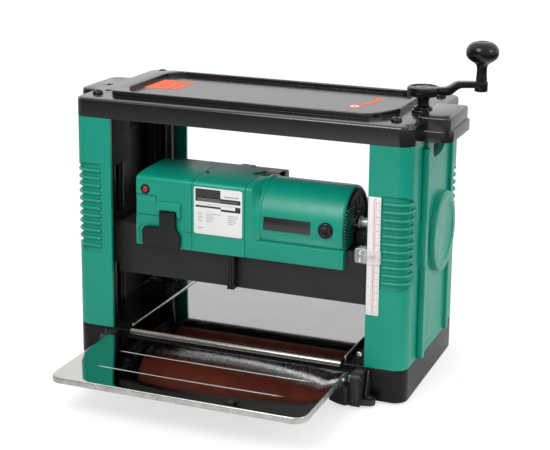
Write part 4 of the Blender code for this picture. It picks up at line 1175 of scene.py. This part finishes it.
on_label(ink, 0.035, 0.555, 0.03, 0.215, big=1.2)
on_label(ink, 0.035, 0.965, 0.205, 0.30)
on_label(ink, 0.035, 0.56, 0.385, 0.425)
on_label(ink, 0.56, 0.965, 0.425, 0.47)
on_label(ink, 0.86, 0.965, 0.35, 0.43)
on_label(pale, 0.62, 0.93, 0.145, 0.165)
for v in (0.225, 0.252, 0.278):
    on_label(pale, 0.07, 0.55 + 0.35 * (v == 0.252), v, v + 0.010, lift=0.58)
for row, (a, b, c) in enumerate(((0.20, 0.56, 0.92), (0.17, 0.38, 0.90), (0.19, 0.42, 0.86), (0.14, 0.40, 0.89),
                                 (0.18, 0.35, 0.84))):
    v = 0.545 + row * 0.042
    on_label(pale, 0.085, a, v, v + 0.010)
    on_label(pale, 0.26, b, v, v + 0.010)
    on_label(pale, 0.70, c, v, v + 0.010)
on_label(pale, 0.08, 0.20, 0.86, 0.872)
on_label(pale, 0.08, 0.90, 0.345, 0.352)
put(made("front_label_bands", ink, plate_black), "carriage")
put(made("front_label_rules", pale, grey_ink), "carriage")

# Reset button and paddle
button = lathe("reset_dome", red, [(0, 133.2), (1.6, 133.1), (3.0, 132.6), (4.1, 131.7), (4.8, 130.5), (5.1, 129.0),
                                   (5.1, 121.6), (0, 121.6)], (-144.2, 0, 275.3), "y", 48)
button.data.transform(Matrix.Diagonal((1, -1, 1, 1)))
button.data.flip_normals()
put(button, "reset", "reset_button")
paddle_shape = softened([(-146.4, 190.5), (-87, 190.5), (-86, 212), (-93.2, 221.5), (-93.5, 245), (-118.5, 245),
                         (-118.8, 221.8), (-142.5, 221), (-147.4, 214)], 2.0, 5)
paddle = prism("paddle_moulding", gloss, [paddle_shape], -137.9, -131.1, "xz", edge=1.5, edge_steps=4)
dish = prism("t", None, [softened([(-141.5, 195), (-93, 195), (-92.5, 210), (-97, 216), (-139.5, 216)], 4, 5)],
             -140, -137.2, "xz")
bar_cut = [block("t", None, (-115.5, -96.5), (-140, -137.3), (226 + 4 * i, 227.2 + 4 * i), big=0.5, along="y")
           for i in range(4)]
shaped(paddle, [dish, *bar_cut])
put(paddle, "paddle", "paddle_switch")

# ---------------------------------------------------------------- motor shell
SY, SZ, SR = -71.0, 240.0, 59.0
box_outline = [(-130, 215.3), (-130, 287.4), (-129.9, 289.4), (-129.2, 291.4), (-127.7, 293.2), (-125.6, 294.5),
               (-122, 295.4), (-112, 296.9), (-98, 298.2), (-84, 298.9), (-33.4, 299), (-32, 297.6), (-32, 215.3)]


def reach_box(a):
    """How far the block's outline is from the motor's axis in one direction."""
    d = Vector((math.cos(a), math.sin(a)))
    best = None
    for p, q in zip(box_outline, box_outline[1:] + box_outline[:1]):
        p, q = Vector((p[0] - SY, p[1] - SZ)), Vector((q[0] - SY, q[1] - SZ))
        e = q - p
        det = d.x * -e.y + d.y * e.x
        if abs(det) < 1e-12:
            continue
        t = (p.x * -e.y + p.y * e.x) / det
        u = (d.x * p.y - d.y * p.x) / det
        if t > 0 and -1e-9 <= u <= 1 + 1e-9:
            best = t if best is None else min(best, t)
    return best


def reach_tube(a, radius):
    """The round part, with its underside planed flat."""
    s = math.sin(a)
    return radius if s >= 0 else min(radius, (SZ - 215.3) / -s)


angles = sorted(
    [2 * math.pi * i / 200 for i in range(200)]
    + [math.atan2(z - SZ, y - SY) % (2 * math.pi) for y, z in box_outline]
)
rows = [(14.65, 0, 0, -0.8), (15.5, 0, 0, 0), (22.0, 0, 0, 0), (25.0, 0, 0, 0), (26.4, 0.10, 61, 0),
        (28.0, 0.28, 61, 0), (30.0, 0.52, 61, 0), (32.0, 0.74, 61, 0), (33.6, 0.90, 61, 0), (35.0, 1, 61.0, 0),
        (36.6, 1, 60.8, 0), (37.6, 1, 60.2, 0), (38.2, 1, 59.5, 0), (38.6, 1, SR, 0)]
rows += [(38.6 + 12.0 * i, 1, SR, 0) for i in range(1, 10)]
rows += [(154, 1, SR, 0), (158.5, 1, SR - 0.1, 0), (160.8, 1, SR - 0.5, 0), (162.2, 1, SR - 1.3, 0),
         (163.0, 1, SR - 2.6, 0)]
bm = bmesh.new()
rings = []
for x, t, radius, inset in rows:
    ring = []
    for a in angles:
        rb = reach_box(a)
        r = (rb * (1 - t) + min(reach_tube(a, radius), 200) * t if t else rb) + inset
        if t:
            r = min(r, (SZ - 215.3) / -math.sin(a)) if math.sin(a) < -1e-9 else r
        ring.append(bm.verts.new((x * MM, (SY + r * math.cos(a)) * MM, (SZ + r * math.sin(a)) * MM)))
    rings.append(ring)
n = len(angles)
for a, b in zip(rings, rings[1:]):
    for k in range(n):
        j = (k + 1) % n
        bm.faces.new((a[k], a[j], b[j], b[k]))
bm.faces.new(rings[0][::-1])
bm.faces.new(rings[-1])
shell = made("motor_moulding", bm, green, 30)
ledge = block("t", None, (14.65, 165.0), (-130, -115.3), (190, 217), small=0.7)
ledge_fill = block("t", None, (15.2, 164.0), (-126, -110), (205, 216.2))
shaped(
    shell,
    [
        lathe("t", None, [(0, 55), (55, 55), (55, 161), (50, 172), (0, 172)][::-1], (0, SY, SZ), "x", 96),
        block("t", None, (14, 166), (-115.3, -10), (180, 215.3)),
        block("t", None, (20, 162), (-115.5, -20), (205, 216.5)),
        lathe("t", None, [(0, -134), (11.35, -134), (11.35, -118), (0, -118)][::-1], (137.8, 0, 245), "y", 56),
        block("t", None, (38, 164), (-131, -126.2), (217.0, 217.5)),
    ],
    [ledge, ledge_fill],
    smooth=30,
)
put(shell, "carriage", "motor_shell")
bell = lathe("motor_end_bell", black,
             [(56.2, 163.2), (55.4, 164.3), (53.8, 165.0), (50, 165.2), (47, 164.4), (45, 164.2), (22, 164.2),
              (20.5, 165.4), (13, 165.4), (12, 164.6), (9.2, 164.6), (9.2, 161.2), (54.6, 161.2), (56.2, 161.6),
              (56.2, 163.2)][::-1],
             (0, SY, SZ), "x", 96)
vents = [prism("t", None, [rounded((SY + 27, SY + 42), (SZ - 12 + 0, SZ - 9.5), 1.2, 3)], 158, 170, "yz",
               place=Matrix.Translation((0, SY * MM, SZ * MM)) @ Matrix.Rotation(math.radians(30 * i), 4, "X")
               @ Matrix.Translation((0, -SY * MM, -SZ * MM))) for i in range(0, 12) if i not in (8, 9, 10)]
shaped(bell, [block("t", None, (158, 170), (-115.3, -10), (170, 215.3)),
              block("t", None, (158, 170), (-140, -110), (170, 216.8)),
              lathe("t", None, [(0, 150), (9.2, 150), (9.2, 180), (0, 180)], (0, -60, 242), "x", 48), *vents])
put(bell, "carriage")
louvre_bars = bmesh.new()
for i in range(14):
    z = 213.5 + 4.5 * i
    half = math.sqrt(55.4**2 - (z - SZ) ** 2)
    low_y = max(SY - half, -126.0) if z > 217 else -114.0
    add_block(louvre_bars, (163.4, 166.0), (low_y, -86.0), (z, z + 1.5), small=0.3)
put(made("motor_end_louvres", louvre_bars, green), "carriage")
plate_arc = [math.degrees(math.atan2(z - SZ, -math.sqrt(SR**2 - (z - SZ) ** 2))) % 360 for z in (254.5, 236.0)]
plate = prism("motor_plate", plate_black,
              [arc((SY, SZ), SR + 0.75, plate_arc[0], plate_arc[1], 12) + arc((SY, SZ), SR - 1.0, plate_arc[1],
                                                                              plate_arc[0], 12)],
              43.5, 115, "yz", edge=0.25)
put(plate, "carriage")
cap = lathe("brush_holder_cap", gloss,
            [(0, 131.6), (4.4, 131.6), (5.0, 132.0), (7.6, 132.0), (8.2, 132.7), (9.8, 132.9), (10.7, 132.3),
             (11.0, 131.2), (11.0, 123.2), (0, 123.2)], (137.8, 0, 245), "y", 64)
cap.data.transform(Matrix.Diagonal((1, -1, 1, 1)))
cap.data.flip_normals()
slot_cut = block("t", None, (-4.6, 4.6), (-0.9, 0.9), (-1.2, 3))
slot_cut.data.transform(Matrix.Translation((0.1378, -0.1313, 0.245)) @ Matrix.Rotation(math.radians(90), 4, "X")
                        @ Matrix.Rotation(math.radians(35), 4, "Z"))
shaped(cap, [slot_cut])
put(cap, "carriage", "brush_cap")

stand = block("motor_bearing_stand", cast, (166.2, 186), (-82, -42), (215.35, 233.4), big=2.5, small=0.8, big_steps=4)
grooves = [block("t", None, (160, 190), (-84, -81), (z, z + 1.4)) for z in (218.5, 222.0, 225.5, 229.0)]
shaped(stand, grooves)
put(stand, "carriage")
sleeve = lathe("motor_bearing_sleeve", sleeve_steel,
               [(6.2, 165.6), (9.0, 165.6), (9.6, 166.2), (9.6, 168.4), (9.0, 169.0), (7.8, 169.2), (7.3, 169.7),
                (7.3, 198.8), (6.9, 199.4), (6.2, 199.4), (6.2, 165.6)], (0, -60, 242), "x", 64)
put(sleeve, "carriage")

# rear motor cover and dust hood
rear = block("rear_cover_moulding", black, (-150, 37), (-31.5, -12), (215.3, 297), big=4.5, along="x", small=1.2,
             big_steps=6)
louvres = [block("t", None, (x, x + 44), (-13.4, -8), (z, z + 2.6), big=1.2, along="y", big_steps=4)
           for x in (-140, -86, -32) for z in (232, 241, 250, 259, 268, 277)]
shaped(
    rear,
    [
        block("t", None, (-147, 25), (-40, -15), (212, 294)),
        lathe("t", None, [(0, 29.3), (60, 29.3), (60, 49.7), (0, 49.7)][::-1], (0, SY, SZ), "x", 72),
        *louvres,
    ],
)
put(rear, "carriage", "rear_motor_cover")
heads = bmesh.new()
for x, z in ((-145, 222), (-145, 290), (-91, 290), (31, 290), (-91, 222), (18, 222)):
    screw_head(heads, (x, -12.1, z), (0, 1, 0), 3.2, 1.8)
screw_head(heads, (-17.6, -20.5, 296.9), (0, 0, 1), 3.6, 3.0)
put(made("rear_cover_screws", heads, zinc_bolt), "carriage")
grey_patch = prism("gear_case_patch", black, [softened([(16.5, -74), (34, -62), (36.6, -33.5), (16.5, -33.5)], 2, 3)],
                   298.7, 299.5, "xy", edge=0.25)
put(grey_patch, "carriage")

hood_piece = block("hood_moulding", black, (-165, 165), (20, 122), (215.3, 230), big=5, along="x", small=1.2,
                   big_steps=8)
spout = lathe("t", None, [(0, 104), (19.8, 104), (20.5, 104.7), (20.5, 118), (20.5, 131.5), (20.1, 132.4), (20.1, 133.2),
                          (20.5, 134.0), (20.5, 136.8), (19.6, 138), (0, 138)][::-1], (-92, 0, 237), "y", 80)
collar = lathe("t", None, [(0, 118), (20.49, 118), (24, 120), (24, 124.5), (20.49, 127), (0, 127)][::-1],
               (-92, 0, 237), "y", 64)
stays = [prism("t", None, [[(70, 228), (104.5, 228), (104.5, 240), (100, 240)]], x - 1.3, x + 1.3, "yz")
         for x in (-104, -92, -80)]
shaped(
    hood_piece,
    [
        block("t", None, (-161.5, 161.5), (23.5, 118.5), (210, 226.5)),
        lathe("t", None, [(0, 107), (17.5, 107), (17.5, 155), (0, 155)][::-1], (-92, 0, 237), "y", 72),
    ],
    [spout, collar, *stays],
)
put(hood_piece, "carriage", "dust_hood")
heads = bmesh.new()
for x in (-157, -60, 60, 157):
    screw_head(heads, (x, 122.0, 222), (0, 1, 0), 3.2, 2.0)
put(made("hood_screws", heads, zinc_bolt), "carriage")

bar = prism("fluted_depth_bar", black,
            [softened([(-13.0, -115.3), (-13.0, -129.5), (-10.6, -129.5), (-10.2, -127.9), (-8.6, -127.9),
                       (-8.2, -129.5), (-6.6, -129.5), (-6.2, -127.9), (-4.9, -127.9), (-4.5, -129.5),
                       (-2.5, -129.5), (-2.5, -115.3)], 0.7, 3)], 138, 185.6, edge=0.3)
put(bar, "carriage", "depth_gauge_bar")
cap = block("depth_bar_cap", gloss, (-13.0, -2.5), (-129.5, -115.4), (185.6, 189.6), big=1.6, small=0.6)
put(cap, "carriage")

# depth cursor: a clear plate with two screws and a red hair line
plate = block("clear_cursor_plate", clear, (184, 222), (-136.3, -134.5), (206.2, 227.8), big=3.4, along="y",
              small=0.6, big_steps=6)
arm_piece = block("t", None, (184.6, 197), (-135.0, -115.4), (208.4, 225.6), small=0.8)
rims = [block("t", None, (199.5, 221.0), (-136.4, -135.9), (z - 0.8, z + 0.8), small=0.3) for z in (207.6, 226.4)]
shaped(plate, [], [arm_piece, *rims])
put(plate, "carriage", "scale_cursor")
hair = bmesh.new()
add_block(hair, (199.0, 221.2), (-136.2, -136.0), (215.2, 215.9))
for dx in (-1, 0, 1):
    add_block(hair, (203.5 + dx * 3 + 6, 204.7 + dx * 3 + 6), (-136.45, -136.25), (217.6, 218.8))
put(made("cursor_hair_line", hair, red_ink), "carriage")
heads = bmesh.new()
for z in (210.8, 221.8):
    screw_head(heads, (191.4, -136.2, z), (0, -1, 0), 3.3, 1.6)
put(made("cursor_screws", heads, zinc_bolt), "carriage")

# screws along the front of the carriage
bits = bmesh.new()
for x in (-120, 60, 120):
    screw_head(bits, (x, 115.0, 176), (0, 1, 0), 4.0, 2.4)
put(made("carriage_screws", bits, zinc_bolt), "carriage")

# ===================================================================== rollers
for name, y in (("infeed_roller", -62), ("outfeed_roller", 62)):
    sleeve = lathe(f"{name}_sleeve", red_rubber,
                   [(9, -184.8), (15.2, -184.8), (16.5, -183.4), (16.5, -60), (16.5, 60), (16.5, 183.4),
                    (15.2, 184.8), (9, 184.8), (9, -184.8)], (0, y, 153), "x", 96)
    put(sleeve, name, name)
    core = lathe(f"{name}_shaft", steel,
                 [(0, -227), (7.2, -227), (8, -226.2), (8, -188), (11.5, -187.4), (11.5, -184.0), (8, -183.8),
                  (8, 183.8), (11.5, 184.0), (11.5, 187.4), (8, 188), (8, 206.2), (7.2, 207), (0, 207)],
                 (0, y, 153), "x", 64)
    put(core, name)

# ====================================================================== tables
PIVOT_Y, PIVOT_Z, NEAR, FAR, TABLE_X, TABLE_TOP = 158.0, 43.0, 172.0, 342.0, 188.0, 57.0
lug = [(NEAR - 1, PIVOT_Z - 8), (NEAR + 34, TABLE_TOP - 9), (NEAR + 40, TABLE_TOP - 6), (NEAR + 40, TABLE_TOP - 1.2),
       (NEAR + 1.5, TABLE_TOP - 1.2), (NEAR + 1.5, TABLE_TOP - 3.0), (PIVOT_Y, PIVOT_Z + 8)] + \
    arc((PIVOT_Y, PIVOT_Z), 8, 105, 270, 20)
SKIRT = 8.6


def sag(x, y, e):
    """The pressed sheet is slightly dished between its rolled edges."""
    t = (abs(y) - NEAR) / (FAR - NEAR)
    if t <= 0 or t >= 1:
        return 0.0
    u = min(1.0, abs(x) / TABLE_X)
    return -2.2 * math.sin(math.pi * t) * math.cos(math.pi / 2 * u) ** 0.55


for name, end, e in (("infeed_table", "front", -1), ("outfeed_table", "rear", 1)):

    def along(a, b, e=e):
        return (a, b) if e > 0 else (-b, -a)

    sheet = block(f"{name}_tray", tray_steel, (-TABLE_X, TABLE_X), along(NEAR - 21, FAR),
                  (TABLE_TOP - SKIRT, TABLE_TOP), big=18, big_steps=12)
    top_round(sheet, TABLE_TOP, 2.2, 6)
    inner = block("t", None, (-TABLE_X + 1.6, TABLE_X - 1.6), along(NEAR - 60, FAR - 1.6), (20, TABLE_TOP - 1.8),
                  big=16.4, big_steps=12)
    lugs = [prism("t", None, [[(e * u, v) for u, v in lug]], s * (TABLE_X - 12), s * (TABLE_X - 1.2), "yz")
            for s in (-1, 1)]
    shaped(
        sheet,
        [inner, block("t", None, (-200, 200), along(100, NEAR), (TABLE_TOP - 3.0, 80)),
         block("t", None, (-175.5, 175.5), along(100, NEAR), (10, 80)),
         block("t", None, (-200, -188.2), along(100, NEAR), (10, 80)),
         lathe("t", None, [(0, -215), (3.9, -215), (3.9, 215), (0, 215)], (0, e * PIVOT_Y, PIVOT_Z), "x", 40)],
        lugs,
    )
    bm = bmesh.new()
    bm.from_mesh(sheet.data)
    for k in range(1, 20):
        y = e * (NEAR + (FAR - NEAR) * k / 20)
        bmesh.ops.bisect_plane(bm, geom=bm.verts[:] + bm.edges[:] + bm.faces[:], dist=1e-7,
                               plane_co=(0, y * MM, 0), plane_no=(0, 1, 0))
    for k in range(1, 24):
        x = -TABLE_X + 2 * TABLE_X * k / 24
        bmesh.ops.bisect_plane(bm, geom=bm.verts[:] + bm.edges[:] + bm.faces[:], dist=1e-7,
                               plane_co=(x * MM, 0, 0), plane_no=(1, 0, 0))
    for v in bm.verts:
        if v.co.z > 0.0535 and (NEAR < abs(v.co.y) / MM < FAR):
            v.co.z += sag(v.co.x / MM, v.co.y / MM, e) * MM
    bm.normal_update()
    for f in bm.faces:
        if f.normal.z < 0.75:
            f.material_index = 1
    bm.to_mesh(sheet.data)
    bm.free()
    sheet.data.materials.append(lip_zinc)
    put(sheet, name, name)
    beads = bmesh.new()
    for y, x0, x1 in ((220, -160, 176), (281, -160, 152)):
        points = [(x0 + (x1 - x0) * i / 40, e * y, TABLE_TOP - 1.7 + sag(x0 + (x1 - x0) * i / 40, y, e))
                  for i in range(41)]
        sizes = [2.35 * min(1.0, 0.35 + i / 5, 0.35 + (40 - i) / 5) for i in range(41)]
        tube(beads, points, sizes, 24)
    put(made(f"{name}_stamped_ribs", beads, tray_steel), name)
    rod_piece = lathe(f"{end}_hinge_pin", oiled,
                      [(0, -207), (3.0, -207), (3.7, -206.2), (3.7, 206.2), (3.0, 207), (0, 207)],
                      (0, e * PIVOT_Y, PIVOT_Z), "x", 40)
    put(rod_piece, "frame", f"{end}_hinge_rod")
    caps = bmesh.new()
    bolts = bmesh.new()
    for s in (-1, 1):
        screw_head(bolts, (s * (TABLE_X - 0.1), e * 186.0, 51.6), (s, 0, 0), 2.7, 2.3)
        add_lathe(caps, [(3.72, -1.2), (6.4, -1.0), (6.8, 0), (6.4, 1.0), (3.72, 1.2), (3.72, -1.2)],
                  (s * 188.9, e * PIVOT_Y, PIVOT_Z), "x", 36)
    put(made(f"{end}_hinge_washers", caps, zinc_bolt), "frame")
    put(made(f"{name}_lug_bolts", bolts, zinc_bolt), name)

    plates, studs = bmesh.new(), bmesh.new()
    for s in (-1, 1):
        x0, x1 = sorted((s * 206.6, s * 203.4))
        tall = prism("t", None, [softened([(e * 132.4, 50), (e * 132.4, 4), (e * 150, 4), (e * 150, 20),
                                           (e * 139, 50)], 2.5, 4)], x0 + s * 4.5, x1 + s * 4.5, "yz", edge=0.5)
        plates.from_mesh(tall.data)
        bpy.data.objects.remove(tall, do_unlink=True)
        guard = prism("t", None, [softened([(s * u, e * v) for u, v in
                                            ((156, 132.4), (156, 154), (172, 163), (184, 166), (190.9, 160),
                                             (190.9, 132.4))], 3, 4)], 3.4, 31.5, "xy", edge=0.8)
        plates.from_mesh(guard.data)
        bpy.data.objects.remove(guard, do_unlink=True)
        for x, y, r in ((182, 149, 6.6), (213.5, 146, 5.2)):
            add_lathe(plates, [(0, 13.4), (2.2, 13.4), (2.4, 15.2), (r - 1.2, 15.2), (r, 14.2), (r, 11.6), (0, 11.6)],
                      (s * x, e * y, 0), "z", 36)
        # the upright of the bracket, with a rounded cap
        add_block(plates, tuple(sorted((s * 192.4, s * 203.6))), tuple(sorted((e * 163.0, e * 168.6))), (11.6, 47),
                  big=2.4, small=0.7, big_steps=5)
        if s > 0 or e > 0:
            screw_head(studs, (s * 193.4, e * 132.2, 69.7), (0, e, 0), 4.2, 2.6)
    put(made(f"{end}_hinge_guards", plates, cast), "frame")
    put(made(f"{end}_frame_bolts", studs, zinc_bolt), "frame")

# ============================================ castings that keep their CAD shape
for name, mat in {
    "carriage_casting": cast, "cutterhead": alu, "cutterhead_pulley": steel, "drive_belt": rubber,
    "feed_chain": steel, "front_knife": blued, "rear_knife": blued, "infeed_roller_sprocket": steel,
    "outfeed_roller_sprocket": steel, "left_cutter_bearing": steel, "right_cutter_bearing": steel,
    "left_lift_sprocket": steel, "right_lift_sprocket": steel, "left_side_frame": powder,
    "right_side_frame": powder, "lift_chain": steel, "motor_armature": bright_shaft, "motor_pulley": steel,
    "motor_stator": copper, "front_left_bracket": cast, "front_right_bracket": cast,
    "rear_left_bracket": cast, "rear_right_bracket": cast,
}.items():
    dress(name, mat)

# ======================================================================= studio
scene.view_settings.view_transform = "Standard"
scene.view_settings.look = "None"

floor_mesh = bmesh.new()
bmesh.ops.create_circle(floor_mesh, cap_ends=True, segments=96, radius=5.0)
floor = made("studio_floor", floor_mesh)
floor.location = (0, 0, -0.0004)
floor_mat = bpy.data.materials.new("white_sweep")
floor_mat.use_nodes = True
tree = floor_mat.node_tree
tree.nodes.clear()
out = node(tree, "OutputMaterial")
place = node(tree, "TexCoord").outputs["Object"]
cloud = node(tree, "TexNoise", {"Vector": place, "Scale": 3.0, "Detail": 2.0}).outputs["Fac"]
paint = mix(tree, cloud, (0.40, 0.40, 0.40, 1.0), (0.43, 0.43, 0.43, 1.0))
matt = node(tree, "BsdfPrincipled", {"Base Color": paint, "Roughness": 0.9, "Specular IOR Level": 0.1,
                                     "Emission Color": (1, 1, 1, 1), "Emission Strength": 0.66})
# what the machine sees of the sweep: darker towards the left, and a dark flag at its right
across = node(tree, "SeparateXYZ", {"Vector": place}).outputs["X"]
tone = mix(tree, ramp(tree, across, -1.2, 0.1), (0.30, 0.30, 0.30, 1.0), (0.80, 0.80, 0.80, 1.0))
flag = node(tree, "VectorMath", {0: place, 1: (0.954, -0.3, 0.0)}, operation="DOT_PRODUCT").outputs["Value"]
tone = mix(tree, ramp(tree, flag, 0.5, 0.8), tone, (0.10, 0.10, 0.10, 1.0))
dim = node(tree, "BsdfPrincipled", {"Base Color": tone, "Roughness": 0.9, "Specular IOR Level": 0.1})
eye_ray = node(tree, "LightPath").outputs["Is Camera Ray"]
both = tree.nodes.new("ShaderNodeMixShader")
tree.links.new(eye_ray, both.inputs[0])
tree.links.new(dim.outputs["BSDF"], both.inputs[1])
tree.links.new(matt.outputs["BSDF"], both.inputs[2])
tree.links.new(both.outputs["Shader"], out.inputs["Surface"])
floor.data.materials.append(floor_mat)

world = bpy.data.worlds.new("white_tent")
scene.world = world
world.use_nodes = True
tree = world.node_tree
tree.nodes.clear()
out = node(tree, "OutputWorld")
aim = node(tree, "TexCoord").outputs["Generated"]
# The tent is brighter behind the machine than in front of it; the camera sees it clean white.
depth = node(tree, "VectorMath", {0: aim, 1: (-0.3475, 0.9377, 0.0)}, operation="DOT_PRODUCT").outputs["Value"]
rise = node(tree, "SeparateXYZ", {"Vector": aim}).outputs["Z"]
level = node(tree, "Math", {0: depth, 1: 0.20, 2: 0.80}, operation="MULTIPLY_ADD").outputs["Value"]
level = node(tree, "Math", {0: rise, 1: 0.28, 2: level}, operation="MULTIPLY_ADD").outputs["Value"]
# and darker towards the left of the camera
flank = node(tree, "VectorMath", {0: aim, 1: (-0.75, -0.66, 0.0)}, operation="DOT_PRODUCT").outputs["Value"]
level = node(tree, "Math", {0: level, 1: ramp(tree, flank, 0.66, 0.96, 1.0, 0.12)},
             operation="MULTIPLY").outputs["Value"]
seen = node(tree, "LightPath").outputs["Is Camera Ray"]
level = node(tree, "Math", {0: level, 1: seen}, operation="MAXIMUM").outputs["Value"]
glow = node(tree, "Background", {"Color": (1.0, 1.0, 1.0, 1.0), "Strength": level})
tree.links.new(glow.outputs["Background"], out.inputs["Surface"])


def soft_light(name, at, target, size, power, shape=1.0):
    data = bpy.data.lights.new(name, "AREA")
    data.shape = "RECTANGLE"
    data.size, data.size_y = size, size * shape
    data.energy = power
    lamp = bpy.data.objects.new(name, data)
    scene.collection.objects.link(lamp)
    here, there = LAYOUT @ Vector(at), LAYOUT @ Vector(target)
    lamp.location = here
    lamp.rotation_euler = (there - here).to_track_quat("-Z", "Y").to_euler()
    return lamp


soft_light("key_box", (-0.35, -1.7, 2.1), (0, 0, 0.3), 1.1, 29)
soft_light("side_box", (2.3, -0.3, 1.5), (0.1, 0, 0.3), 1.0, 10)

A, P, R = 0.354828, 0.226718, 0.0158389
forward = Vector((-math.sin(A) * math.cos(P), math.cos(A) * math.cos(P), -math.sin(P)))
right = Vector((math.cos(A), math.sin(A), 0))
up = right.cross(forward)
rr = right * math.cos(R) + up * math.sin(R)
uu = -right * math.sin(R) + up * math.cos(R)
camera_data = bpy.data.cameras.new("camera")
camera_data.sensor_width = 36.0
camera_data.lens = 1370.97 * 36.0 / 550
camera_data.shift_x = (275 - 308.82) / 550
camera_data.shift_y = (140.66 - 225) / 550
camera_data.clip_end = 50
camera = bpy.data.objects.new("camera", camera_data)
scene.collection.objects.link(camera)
turn = Matrix((rr, uu, -forward)).transposed().to_4x4()
camera.matrix_world = LAYOUT @ Matrix.Translation((0.75663, -1.87269, 0.80129)) @ turn
scene.camera = camera

low, high = cad_box[0], cad_box[1]
